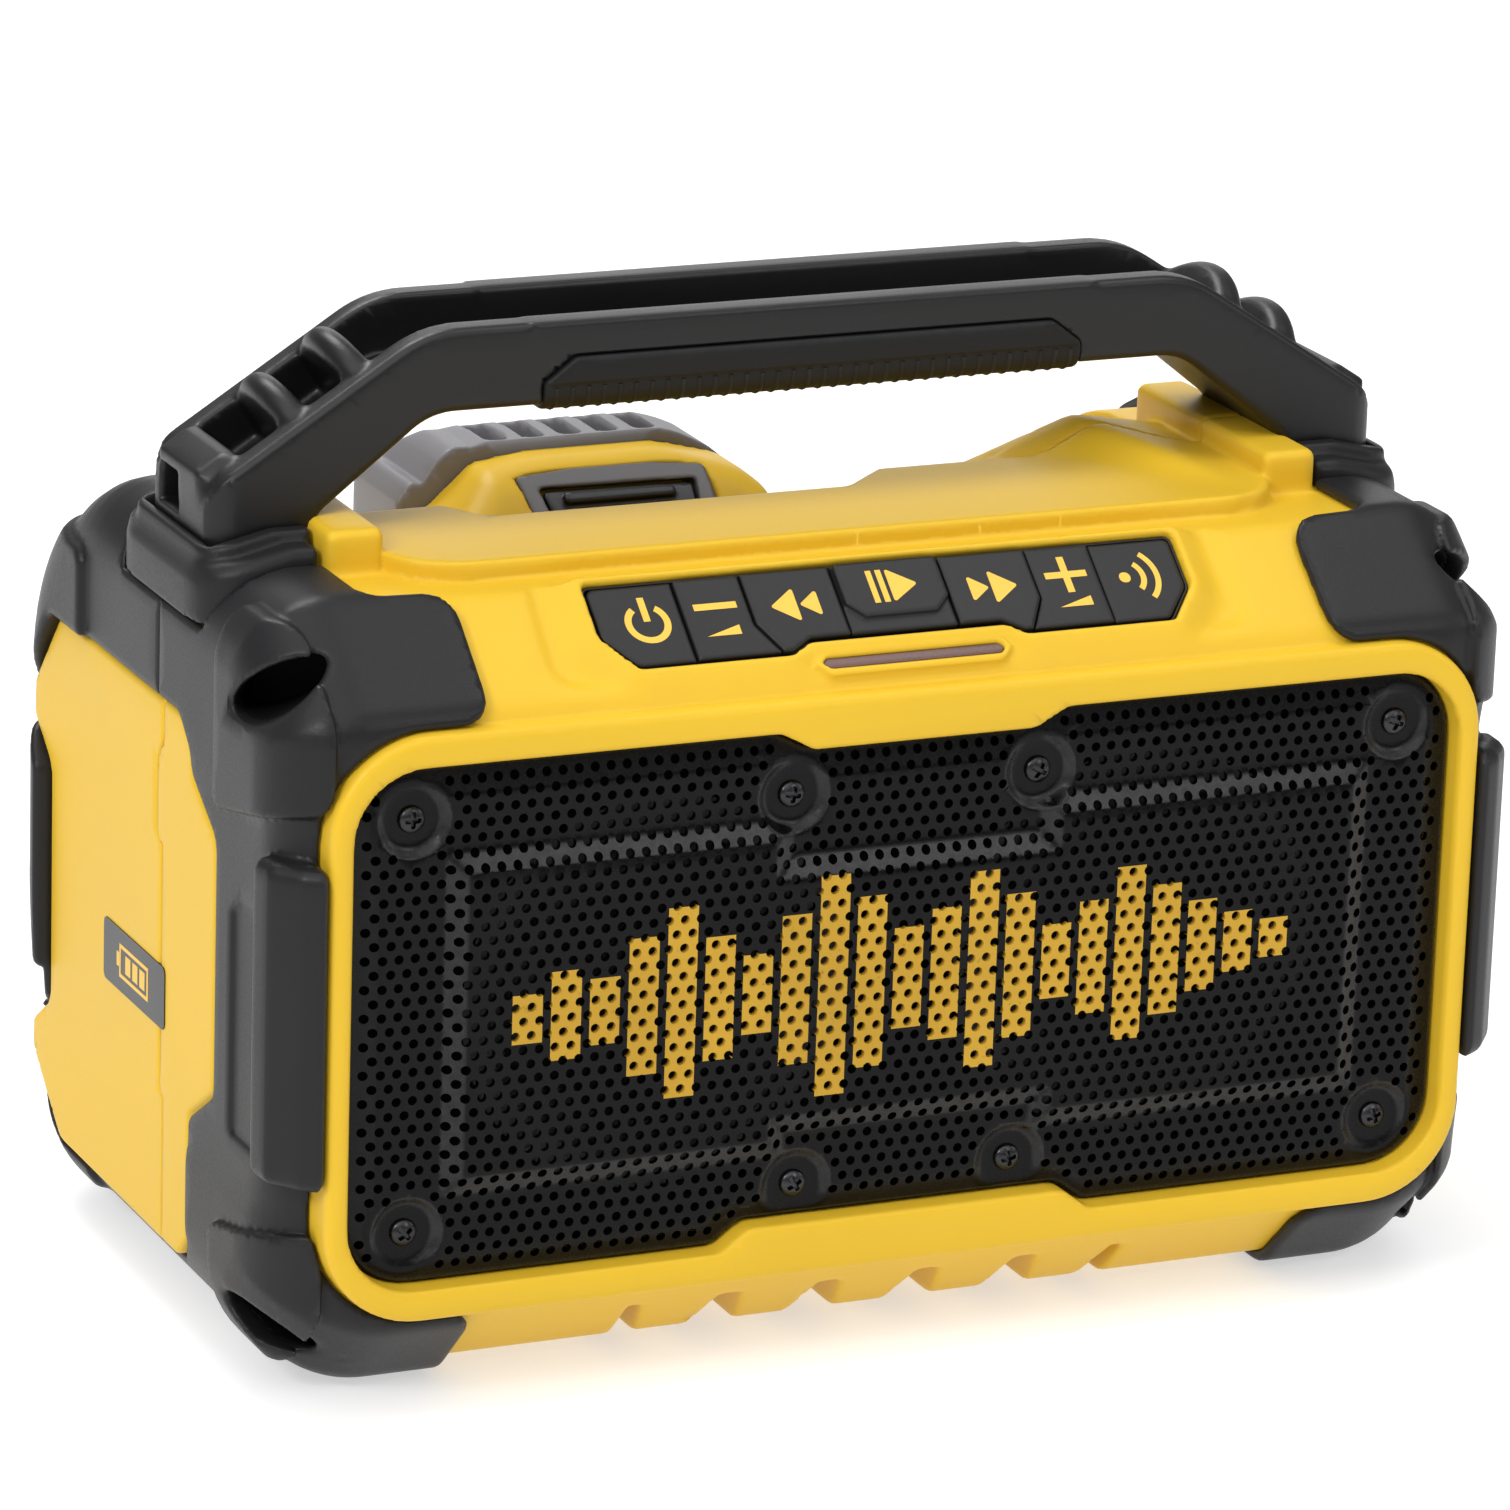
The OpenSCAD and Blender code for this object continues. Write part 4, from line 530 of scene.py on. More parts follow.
def moulded(name, colour, rough, grain, depth, mottle, worn, specular=0.5, coat=0.0):
    """Moulded plastic or rubber: fine spark grain, faint mottling, and edges rubbed a little brighter."""
    m = Maker(name)
    cloud = m.noise(14.0, 3.0)
    fine = m.noise(grain, 2.0, 0.6)
    tone = m.blend(m.cloudy(cloud), rgba(colour, 1 - mottle), rgba(colour, 1 + mottle))
    edge = m.add("ShaderNodeNewGeometry").outputs["Pointiness"]
    patches = m.spread(m.noise(160.0, 3.0), 0.4, 0.6, 0.2, 1.0)
    scuff = m.math("MULTIPLY", m.spread(edge, 0.53, 0.6, 0.0, worn), patches)
    tone = m.blend(scuff, tone, rgba([min(1.0, c*1.25 + 0.05) for c in colour[:3]]))
    m.set(base_color=tone, roughness=m.math(
        "ADD", m.cloudy(cloud, rough - 0.04, rough + 0.04), m.cloudy(fine, -0.05, 0.05)))
    m.set(specular_ior_level=specular, coat_weight=coat, coat_roughness=0.25)
    m.bump(fine, 0.5, depth*MM)
    return m.mat


def metal(name, colour, rough, scratch):
    """Plated or bare metal with fine scratches."""
    m = Maker(name)
    fine = m.noise(scratch, 4.0, 0.7)
    cloud = m.noise(60.0, 2.0)
    m.set(base_color=m.blend(m.cloudy(cloud), rgba(colour, 0.85), rgba(colour, 1.1)))
    m.set(roughness=m.cloudy(fine, rough - 0.08, rough + 0.12), metallic=1.0)
    m.bump(fine, 0.3, 0.02*MM)
    return m.mat


def printed_bars(m):
    """Share of print at a point of the grille: a row of level bars, one height a bar."""
    parts = m.add("ShaderNodeSeparateXYZ", {"Vector": m.where})
    x, z = parts.outputs["X"], parts.outputs["Z"]
    count = len(LEVELS)
    along = m.math("DIVIDE", m.math("SUBTRACT", x, PRINT_X0), (PRINT_X1 - PRINT_X0)/count)
    ramp = m.add("ShaderNodeValToRGB", {"Fac": m.math("DIVIDE", along, float(count))})
    ramp.color_ramp.interpolation = "CONSTANT"
    stops = ramp.color_ramp.elements
    for i, level in enumerate(LEVELS):
        stop = stops[i] if i < 2 else stops.new(i/count)
        stop.position = i/count
        stop.color = (level, level, level, 1)
    tall = m.math("MULTIPLY", ramp.outputs["Color"], PRINT_HALF)
    wide = m.span(m.math("FRACT", along), 0.5, PRINT_FILL)
    inside = m.span(z, PRINT_Z, tall)
    row = m.span(x, (PRINT_X0 + PRINT_X1)/2, (PRINT_X1 - PRINT_X0)/2)
    return m.math("MULTIPLY", m.math("MULTIPLY", wide, inside), row)


def painted_grille(name, colour, amber):
    """Gloss black paint on perforated steel, with level bars printed across the raised field."""
    m = Maker(name)
    worn = m.noise(420.0, 4.0, 0.65)
    ink = m.math("MULTIPLY", printed_bars(m), m.spread(worn, 0.28, 0.36, 0.55, 1.0), clamp=True)
    cloud = m.cloudy(m.noise(30.0, 3.0))
    black = m.blend(cloud, rgba(colour, 0.8), rgba(colour, 1.25))
    ochre = m.blend(cloud, rgba(amber, 0.9), rgba(amber, 1.08))
    normal = m.add("ShaderNodeTexCoord").outputs["Normal"]
    facing = m.math("ABSOLUTE", m.add("ShaderNodeSeparateXYZ", {"Vector": normal}).outputs["Y"])
    # Painted sheen: a lighter black on the field's sloped borders, found by their normals, stands in for
    # highlights.
    sloped = m.math("MULTIPLY", m.spread(facing, 0.9, 0.97, 1.0, 0.0),
                    m.math("GREATER_THAN", facing, 0.7), clamp=True)
    painted_bevel_sheen = m.math("MULTIPLY", sloped, m.cloudy(worn, 0.5, 1.0))
    black = m.blend(painted_bevel_sheen, black, (0.03, 0.03, 0.031, 1))
    fine = m.noise(1800.0, 2.0)
    m.set(base_color=m.blend(ink, black, ochre), specular_ior_level=0.16)
    m.set(roughness=m.math("ADD", m.spread(ink, 0.0, 1.0, 0.26, 0.45), m.cloudy(fine, -0.04, 0.06)))
    m.bump(fine, 0.35, 0.03*MM)
    return m.mat


FINISH = {}


def make_finishes(look):
    """All finishes by name: colour, roughness, grain, its depth, mottling, wear and gloss."""
    rubber, black, cover = look.rubber, look.black, look.cover
    for name, *values in (
            ("yellow_plastic", look.yellow, 0.4, 2600.0, 0.02, 0.03, 0.1, 0.2),
            ("bumper_rubber", rubber, 0.4, 2200.0, 0.06, 0.1, 0.35, 0.22),
            ("handle_plastic", black, 0.4, 2400.0, 0.03, 0.1, 0.3, 0.4),
            ("grip_rubber", rgba(black, 0.9), 0.55, 2000.0, 0.06, 0.1, 0.2, 0.3),
            ("key_rubber", rgba(rubber, 0.75), 0.44, 2800.0, 0.03, 0.08, 0.25, 0.35),
            # slot_black darkens the strap pockets as painted shade, and also paints the baffle's face.
            ("slot_black", (0.004, 0.004, 0.0042), 0.7, 2200.0, 0.03, 0.1, 0.0, 0.1),
            ("cover_plastic", cover, 0.42, 2400.0, 0.03, 0.06, 0.25),
            ("latch_grey", rgba(cover, 0.8), 0.4, 2400.0, 0.03, 0.06, 0.25),
            ("black_plastic", rgba(black, 0.8), 0.38, 2600.0, 0.03, 0.1, 0.3),
            ("smoked_lens", (0.15, 0.085, 0.075), 0.3, 1500.0, 0.01, 0.1, 0.0, 0.3, 0.1),
            ("icon_print", look.print_colour, 0.45, 3000.0, 0.01, 0.05, 0.0),
            ("plate_print", rgba(black, 1.1), 0.35, 3000.0, 0.01, 0.08, 0.0),
            ("cone_pulp", (0.012, 0.012, 0.013), 0.7, 1200.0, 0.12, 0.3, 0.0),
            ("surround_rubber", (0.02, 0.02, 0.021), 0.5, 1600.0, 0.04, 0.1, 0.1),
            ("spider_cloth", (0.36, 0.2, 0.07), 0.8, 1800.0, 0.2, 0.15, 0.0),
            ("board_laminate", (0.012, 0.09, 0.035), 0.35, 900.0, 0.03, 0.15, 0.1),
            ("cell_sleeve", (0.03, 0.13, 0.36), 0.32, 1400.0, 0.01, 0.08, 0.1)):
        FINISH[name] = moulded(name, *values)
    for name, *values in (
            ("screw_steel", (0.05, 0.05, 0.053), 0.3, 900.0),
            ("driver_frame", (0.1, 0.1, 0.105), 0.45, 700.0),
            ("magnet_iron", (0.22, 0.22, 0.23), 0.5, 500.0),
            ("contact_brass", (0.7, 0.45, 0.16), 0.3, 900.0),
            ("socket_steel", (0.6, 0.6, 0.62), 0.28, 900.0)):
        FINISH[name] = metal(name, *values)
    FINISH["grille_paint"] = painted_grille("grille_paint", look.grille, rgba(look.print_colour, 0.62))


# Properties

COLOUR = {"subtype": "COLOR", "min": 0, "max": 1}


class SpeakerSizes(bpy.types.PropertyGroup):
    """Sizes that the pieces are made with"""
    shell_cell: bpy.props.FloatProperty(
        name="Shell cell", description="Cell size that the yellow housings are cast at", default=0.0007,
        min=0.0004, unit="LENGTH")
    rubber_cell: bpy.props.FloatProperty(
        name="Rubber cell", description="Cell size that bumpers and handle are cast at", default=0.00075,
        min=0.0004, unit="LENGTH")
    hole_pitch: bpy.props.FloatProperty(
        name="Hole pitch", description="Distance between the grille's perforations", default=0.00331,
        min=0.002, unit="LENGTH")
    hole_d: bpy.props.FloatProperty(
        name="Hole diameter", description="Diameter of one perforation", default=0.00195,
        min=0.0005, unit="LENGTH")
    rib_count: bpy.props.IntProperty(
        name="Grip ribs", description="Ribs under the soft grip", default=34, min=4, max=80)
    edge: bpy.props.FloatProperty(
        name="Edge radius", description="Softening of small moulded edges", default=0.0004,
        min=0.0, unit="LENGTH")


class SpeakerLook(bpy.types.PropertyGroup):
    """Colours of the pieces and strengths of the lights"""
    yellow: bpy.props.FloatVectorProperty(
        name="Yellow", description="Colour of the moulded housings", default=(0.74, 0.465, 0.028), **COLOUR)
    rubber: bpy.props.FloatVectorProperty(
        name="Rubber", description="Colour of the corner bumpers", default=(0.0135, 0.0133, 0.0145), **COLOUR)
    black: bpy.props.FloatVectorProperty(
        name="Black", description="Colour of the handle", default=(0.0055, 0.0055, 0.0058), **COLOUR)
    grille: bpy.props.FloatVectorProperty(
        name="Grille paint", description="Colour of the grille's paint",
        default=(0.0015, 0.0015, 0.0017), **COLOUR)
    cover: bpy.props.FloatVectorProperty(
        name="Battery cover", description="Colour of the battery's rear half",
        default=(0.16, 0.155, 0.165), **COLOUR)
    print_colour: bpy.props.FloatVectorProperty(
        name="Print", description="Colour of printed marks", default=(0.86, 0.5, 0.05), **COLOUR)
    floor: bpy.props.FloatVectorProperty(
        name="Floor", description="Colour of the studio floor", default=(0.55, 0.55, 0.55), **COLOUR)
    key_light: bpy.props.FloatProperty(
        name="Key light", description="Power of the main soft light", default=5.0, min=0.0)
    sun: bpy.props.FloatProperty(
        name="Sun", description="Strength of the broad light over the floor", default=1.7, min=0.0)
    sky: bpy.props.FloatProperty(
        name="Sky", description="Strength of the even surrounding light", default=0.24, min=0.0)


# Stage

def add_floor(scene, look):
    """White paper that the speaker stands on."""
    h = FLOOR_HALF
    me = bpy.data.meshes.new("floor")
    me.from_pydata([(-h, -h, 0), (h, -h, 0), (h, h, 0), (-h, h, 0)], [], [(0, 1, 2, 3)])
    floor = bpy.data.objects.new("floor", me)
    scene.collection.objects.link(floor)
    m = Maker("floor_paper")
    tone = m.blend(m.cloudy(m.noise(3.0, 3.0)), rgba(look.floor, 0.985), rgba(look.floor))
    m.set(base_color=tone, roughness=0.9, emission_color=(1, 1, 1, 1), emission_strength=0.55)
    me.materials.append(m.mat)


def add_light(scene, name, kind, at, size, power):
    """Sun with an angle, or square lamp with a width, turned to the speaker."""
    light = bpy.data.lights.new(name, kind)
    if kind == "SUN":
        light.angle = size
    else:
        light.size = size
    light.energy = power
    ob = bpy.data.objects.new(name, light)
    ob.location = at
    ob.rotation_euler = (LIGHT_AIM - Vector(at)).to_track_quat("-Z", "Y").to_euler()
    scene.collection.objects.link(ob)


def add_camera(scene):
    """Camera at the photograph's place, turned by its roll."""
    view = Vector(CAMERA_VIEW).normalized()
    right = view.cross(Vector((0, 0, 1))).normalized()
    up = right.cross(view)
    sin, cos = math.sin(CAMERA_ROLL), math.cos(CAMERA_ROLL)
    right, up = cos*right + sin*up, cos*up - sin*right
    cam = bpy.data.cameras.new("photo_camera")
    cam.sensor_width, cam.lens = CAMERA_SENSOR, CAMERA_LENS
    cam.clip_start, cam.clip_end = 0.05, 50.0
    ob = bpy.data.objects.new("photo_camera", cam)
    turn = Matrix((right, up, -view)).transposed().to_4x4()
    ob.matrix_world = Matrix.Translation(CAMERA_AT) @ turn
    scene.collection.objects.link(ob)
    scene.camera = ob


class SPEAKER_OT_stage(bpy.types.Operator):
    """Floor, lights and the camera at the photograph's angle"""
    bl_idname = "speaker.stage"
    bl_label = "Stage"

    def execute(self, context):
        scene, look = context.scene, context.scene.speaker_look
        scene.view_settings.view_transform = "Standard"
        add_floor(scene, look)
        world = bpy.data.worlds.new("studio")
        world.use_nodes = True
        sky = world.node_tree.nodes["Background"].inputs
        sky["Color"].default_value = (1, 1, 1, 1)
        sky["Strength"].default_value = look.sky
        scene.world = world
        add_light(scene, "sun", "SUN", SUN_AT, SUN_ANGLE, look.sun)
        for name, at, size, share in LAMPS:
            add_light(scene, name, "AREA", at, size, look.key_light*share)
        add_camera(scene)
        return {"FINISHED"}


# Housings

def shell_base(c):
    """Both housings in one: body, side panels and socket blocks."""
    panel = blunt(rim(PANEL_LINE, c.y, c.z) + 0.4, slab(np.abs(c.x), 110, HALF_W + PANEL_RISE), 1.4)
    gap = join(c.body(0), panel, 0.6)
    reach = SOCKET_HALF + BLOCK_OVER
    low = (SOCKET_IN - BLOCK_W, HANDLE_Y - reach, UNDER_DECK)
    high = (SOCKET_IN - 0.3, HANDLE_Y + reach, DECK_Z + BLOCK_RISE)
    return join(gap, together(brick(c, low, high, 2.0), brick(Flip(c), low, high, 2.0)), 0.8)


def tray_form(c):
    """Tray under the handle, stepped back round the battery pack."""
    line = rounded([
        (-TRAY_X, SEAM_Y, 0), (-TRAY_X, TRAY_Y, TRAY_R), (TRAY_X, TRAY_Y, TRAY_R), (TRAY_X, SEAM_Y, 0),
        (PACK_X + 45, SEAM_Y, 0), (PACK_X + 33, SEAM_Y - 11, 6), (PACK_X - 44, SEAM_Y - 11, 6),
        (PACK_X - 50, SEAM_Y, 0)])
    return blunt(rim(line, c.x, c.y), slab(c.z, UNDER_DECK, DECK_Z + TRAY_RISE), 0.8)


def wing_form(c):
    """Rise of the deck at its right end: a ramp up to a crest, which falls to the right and the back."""
    x, y, z = c.x - WING_X, c.y, c.z - WING_Z
    ramp = (z - WING_RAMP[0]*x - WING_RAMP[1]*np.minimum(y, 0))*WING_RAMP[2]
    right = (z + WING_RIGHT[0]*x - WING_RIGHT[1]*y)*WING_RIGHT[2]
    rear = (z + WING_RIGHT[0]*x + WING_REAR[1]*y - WING_REAR[0]*x)*WING_REAR[2]
    wing = blunt(blunt(ramp, right, 2.0), rear, 3.0)
    line = rounded([(40, 90, 0), (40, TRAY_Y, 0), (TRAY_X, TRAY_Y, TRAY_R), (TRAY_X, 90, 0)])
    return within(wing, rim(line, c.x, c.y) + 0.3, UNDER_DECK - c.z)


def keypad_seat(c, gap):
    """Shallow dish in the slope, and the raised lips round the keypad and the lens."""
    up, out = c.slope()
    dish = rim(rounded([(-74.5, 40, 0), (-76, 3.6, 7), (76, 3.6, 7), (74.5, 40, 0)]), c.x, up)
    floor = (out + DISH_DEPTH*ease(-dish, 0, DISH_EDGE))*0.93
    gap = np.where(dish < 0, within(gap, floor), gap)
    flank = (rim(keypad_line(1.5), c.x, up) - 1.7*(SEAT_LIP - out))*0.5
    lip = within(blunt(flank, slab(out, -2, SEAT_LIP), 0.5), up - 28.6)
    gap = join(gap, lip, 0.8)
    return join(gap, blunt(rim(lens_line(1.7), c.x, up), slab(out, -2, LENS_LIP), 0.6), 0.5)


def skirt_form(c):
    """What is taken from the lower front between its slanted ribs."""
    skirt = within(slab(c.x, -SKIRT_HALF, SKIRT_HALF), slab(c.z, 0, FLOOR_GAP + 10), c.y + 40)
    half = RIB_PITCH/2
    rib = (np.abs((c.x + half) % RIB_PITCH - half) - RIB_HALF - RIB_FLARE*(c.z - FLOOR_GAP))*0.95
    return within(skirt, -c.body(-2.8) - 0.4*(c.y + 66), -rib)


def front_housing_form(c):
    """Front housing with bezel, tray, keypad seat, driver openings, strap pockets and ribs."""
    bezel = blunt(rim(BEZEL_LINE, c.x, c.z), slab(c.y, BEZEL_Y, -60), 1.8)
    gap = join(shell_base(c), bezel, 0.8)
    gap = join(join(gap, tray_form(c), 0.4), wing_form(c), WING_FILLET)
    gap = keypad_seat(c, gap)
    gap = np.where(c.y > BEZEL_Y + 1, blunt(gap, c.y - seam_line(c.z) + 0.1, 0.35), gap)
    gap = carve(gap, within(rim(OPENING_LINE, c.x, c.z), c.y - BAFFLE_Y), 0.9)
    for s in (-1, 1):
        hole = np.hypot(c.x - s*DRIVER_X, c.z - DRIVER_Z) - CUTOUT_R
        gap = without(gap, within(hole, slab(c.y, -90, -50)))
    up, out = c.slope()
    for line, r in ((keypad_line(0.2), 0.45), (lens_line(0.1), 0.3)):
        gap = carve(gap, within(rim(line, c.x, up), slab(out, -7, 20)), r)
    gap = without(gap, all_lash_slots(c, SLOT_DEPTH, SLOT_CLEAR))
    sill = within(slab(c.x, -60, 60), c.z - FLOOR_GAP - 17, c.y + 36)
    room = without(within(c.body(-WALL), slab(c.y, CAVITY_Y, 40)), sill)
    gap = without(gap, without(room, all_lash_slots(c, 15.0, 4.0)))
    return carve(gap, skirt_form(c), 0.8)


def port_box(c, grow, depth, r):
    """Block over the port opening, grown to each side and sunk to a depth."""
    half_w, half_h = PORT_W/2 + grow, PORT_H/2 + grow
    return brick(c, (PORT_X - half_w, DOOR_Y - depth, PORT_Z - half_h),
                 (PORT_X + half_w, FAR, PORT_Z + half_h), r)


def bay_box(c, grow):
    """Block over the battery bay, open to the back and the top."""
    return brick(c, (PACK_X - BAY_HALF - grow, BAY_Y - grow, BAY_Z - grow),
                 (PACK_X + BAY_HALF + grow, FAR, FAR), 0.1)


def rear_housing_form(c):
    """Rear housing with the falling deck, battery bay, port recess and screw holes."""
    above = within((DECK_Z - DECK_FALL*(c.y + 3) - c.z)*DECK_FALL_COS, np.abs(c.x) - DECK_HALF)
    gap = join(carve(shell_base(c), above, 1.5), wing_form(c), WING_FILLET)
    gap = blunt(gap, seam_line(c.z) + 0.25 - c.y, 0.35)
    room = within(c.body(-WALL), slab(c.y, -40, 200), WALL - above)
    gap = without(gap, within(room, -bay_box(c, WALL), -port_box(c, WALL, PORT_DEPTH + WALL, 0.1)))
    gap = carve(gap, bay_box(c, 0), 1.2)
    gap = carve(gap, port_box(c, -3, PORT_DEPTH, 2.0), 0.4)
    gap = carve(gap, port_box(c, 0, 0.6, 0.5), 0.6)
    for x, z in CASE_SCREWS:
        gap = carve(gap, within(np.hypot(c.x - x, c.z - z) - 4.6, HALF_D - 10 - c.y), 0.7)
    return gap


class SPEAKER_OT_housings(bpy.types.Operator):
    """Yellow front and rear housings"""
    bl_idname = "speaker.housings"
    bl_label = "Housings"

    def execute(self, context):
        step = context.scene.speaker_sizes.shell_cell/MM
        for end, y0, y1, form in (
                ("front", -81, 26, front_housing_form), ("rear", SEAM_Y - 6, 77, rear_housing_form)):
            c = Cells((-130, y0, 3), (130, y1, 170), step)
            name = end + "_shell"
            piece(name, cast(name, c, form(c), 0.03), "yellow_plastic", replaces=(end + "_housing",))
        return {"FINISHED"}


# Bumpers

def front_bumper_form(c):
    """Left front bumper: base, corner pads, upright bar, tab over the slope and strap slots."""
    x, y, z = c.x, c.y, c.z
    middle = ease(z, 36, 42)*(1 - ease(z, 116, 122))
    gap = c.body(BASE_T) + 0.5*middle
    corner = blunt(y + 40.5, x + 121, 5.0)
    slant = 0.22*(-35 - y)
    upper = blunt(corner, slab(z, 114 + slant, DECK_Z - 1), 4.0)
    lower = blunt(corner, slab(z, FLOOR_GAP + 3, 30 + slant), 4.0)
    gap = join(gap, blunt(c.body(BUMPER_T + 0.8), together(upper, lower), 1.0), 0.25)
    bar_plan = rim(rounded([
        (-131.6, -65.6, 1.2), (-133.2, -67.0, 1.2), (-132.6, -73.2, 2.2), (-127.8, -79.4, 2.2),
        (-123.6, -81.9, 1.2), (-121.8, -79.5, 1.0), (-121.8, -65.6, 0)]), x, y)
    gap = join(gap, blunt(bar_plan, slab(z, BAR_Z0, BAR_Z1), 3.2), 0.3)
    slim = rim(rounded([
        (-64.0, BAR_Z0 + 2, 1.5), (-64.0, 99, 1.5), (-50, 99, 1.5), (-46.5, 96, 1.5),
        (-46.5, BAR_Z0 + 2, 1.5)]), y, z)
    gap = carve(gap, within(slim, x + HALF_W + 1.0), 0.25)
    bezel = rim(box_line(-BEZEL_X - 0.3, BEZEL_Z1 + 0.3, BEZEL_X, BEZEL_Z0 - 0.3, BEZEL_R), x, z)
    tab = rim(rounded([
        (-200, -200, 0), (-89.5, -200, 0), (-89.5, -55.7, 6), (-SOCKET_IN, -54.5, 4), (-SOCKET_IN, 100, 0),
        (-200, 100, 0)]), x, y)
    zone = blunt(np.where(z > 100, tab, x + 90), -bezel, 6.0)
    zone = blunt(zone, -rim(PANEL_LINE, y, z) + PANEL_CLEAR, PANEL_EDGE)
    gap = within(blunt(gap, zone, BUMPER_EDGE), y - SEAM_Y + 0.1)
    gap = carve(gap, socket_room(c), 0.5)
    for slot in STRAP_SLOTS:
        gap = carve(gap, lash_slot(c, slot, 30.0, 0.0), 1.2)
    return within(gap, BODY_GAP - c.body(0))


def slot_shade_form(c):
    """Painted shade: black cups over the walls of the two strap pockets, under the rubber."""
    depth = SLOT_DEPTH - 0.2
    cups = [without(lash_slot(c, slot, depth, SLOT_SHADE_T), lash_slot(c, slot, depth - SLOT_SHADE_T, 0.0))
            for slot in STRAP_SLOTS]
    return within(together(*cups), c.body(0.6))


def rear_bumper_form(c):
    """Left rear bumper: base, upright bar and corner pads."""
    x, y, z = c.x, c.y, c.z
    bar_zone = blunt(within(HALF_D - 14 - y, x + HALF_W - 20), slab(z, BAR_Z0, BAR_Z1 - 14), 3.0)
    gap = join(c.body(BASE_T), blunt(c.body(BUMPER_T + BAR_H), bar_zone, 2.0), 0.5)
    corner = within(38 - y, x + 112)
    pads = together(blunt(corner, slab(z, 108, DECK_Z - 12), 4.0), blunt(corner, slab(z, 8, 40), 4.0))
    gap = join(gap, blunt(c.body(BUMPER_T + 0.6), pads, 1.5), 0.5)
    window = within(rim(box_line(-110, 137.5, 110, 22.5, 20), x, z), HALF_D - 8 - y)
    zone = blunt(x + 91, -window, 5.0)
    zone = blunt(zone, -rim(PANEL_LINE, y, z) + PANEL_CLEAR, PANEL_EDGE)
    deck = within(-SOCKET_IN - x, DECK_Z - 22 - z, y - HALF_D + 10)
    zone = blunt(zone, -deck, 3.0)
    gap = within(blunt(gap, zone, BUMPER_EDGE), SEAM_Y + 0.1 - y)
    gap = carve(gap, socket_room(c), 0.5)
    return within(gap, BODY_GAP - c.body(0))


class SPEAKER_OT_bumpers(bpy.types.Operator):
    """Rubber corner bumpers, front and rear, left and right"""
    bl_idname = "speaker.bumpers"
    bl_label = "Bumpers"

    def execute(self, context):
        step = context.scene.speaker_sizes.rubber_cell/MM
        for end, y0, y1, form in (
                ("front", -82, SEAM_Y, front_bumper_form), ("rear", SEAM_Y, 82, rear_bumper_form)):
            c = Cells((-133, y0, 0), (-88, y1, 162), step)
            gap = form(c)
            for side in ("left", "right"):
                node = f"{end}_{side}_bumper"
                piece(node + "_moulding", cast(node, c, gap, mirror=side == "right"), "bumper_rubber",
                      replaces=(node,))
        # Painted shade in the strap pockets: black cups, darker than the rubber, in the rubber's slot.
        c = Cells((-133, -82, 3), (-96, -40, 160), step)
        gap = slot_shade_form(c)
        for side in ("left", "right"):
            name = side + "_slot_linings"
            piece(name, cast(name, c, gap, mirror=side == "right"), "slot_black", slot="bumper_rubber")
        return {"FINISHED"}


# Handle

HANDLE_BEND = HANDLE_FLAT + 6
LEG_A = math.atan2(28.5, LEG_OUT - HANDLE_BEND)
HANDLE_LINE = rounded([
    (-LEG_OUT, UNDER_DECK, 0), (-LEG_OUT, 173, 11), (-HANDLE_BEND, HANDLE_Z, 24), (HANDLE_BEND, HANDLE_Z, 24),
    (LEG_OUT, 173, 11), (LEG_OUT, UNDER_DECK, 0), (LEG_IN, UNDER_DECK, 0), (LEG_IN, DECK_Z + 8, 7),
    (HANDLE_FLAT + 5, RAIL_Z, 14), (-HANDLE_FLAT - 5, RAIL_Z, 14), (-LEG_IN, DECK_Z + 8, 7),
    (-LEG_IN, UNDER_DECK, 0)], 5)
CHANNEL_LINE = rounded([
    (-100, 189.8, 0), (82.7, 189.8, 12), (87.4, 187.0, 1.5), (98.2, 203.9, 0), (98.2, 240, 0),
    (-100, 240, 0)])
GRIP_LINE = rounded([
    (-58, 150, 0), (-58, 189.5, 1.5), (-51.5, 194.4, 2.5), (51.5, 194.4, 2.5), (58, 189.5, 1.5),
    (58, 150, 0)])
SOCKET_PLAN = rounded([
    (-SOCKET_OUT, -SOCKET_HALF, 13), (-SOCKET_IN, -SOCKET_HALF, 0.5), (-SOCKET_IN, SOCKET_HALF, 0.5),
    (-SOCKET_OUT, SOCKET_HALF, 13)])
COLLAR_OUT, COLLAR_HALF = 129.4, 22.6


def leg_axes(c):
    """Distances along a sloped leg, from its bend, and out of its upper face."""
    dx, dz = np.abs(c.x) - HANDLE_FLAT - 6, c.z - HANDLE_Z
    return dx*math.cos(LEG_A) - dz*math.sin(LEG_A), dx*math.sin(LEG_A) + dz*math.cos(LEG_A)


def grip_zone(c, clear):
    """Where the soft grip wraps the lower part of the straight rails."""
    y = np.abs(c.y - HANDLE_Y)
    core = within(y - HANDLE_HALF + 1.6, RAIL_Z + 0.8 - c.z)
    return within(rim(GRIP_LINE, c.x, c.z) - clear, -core - clear)


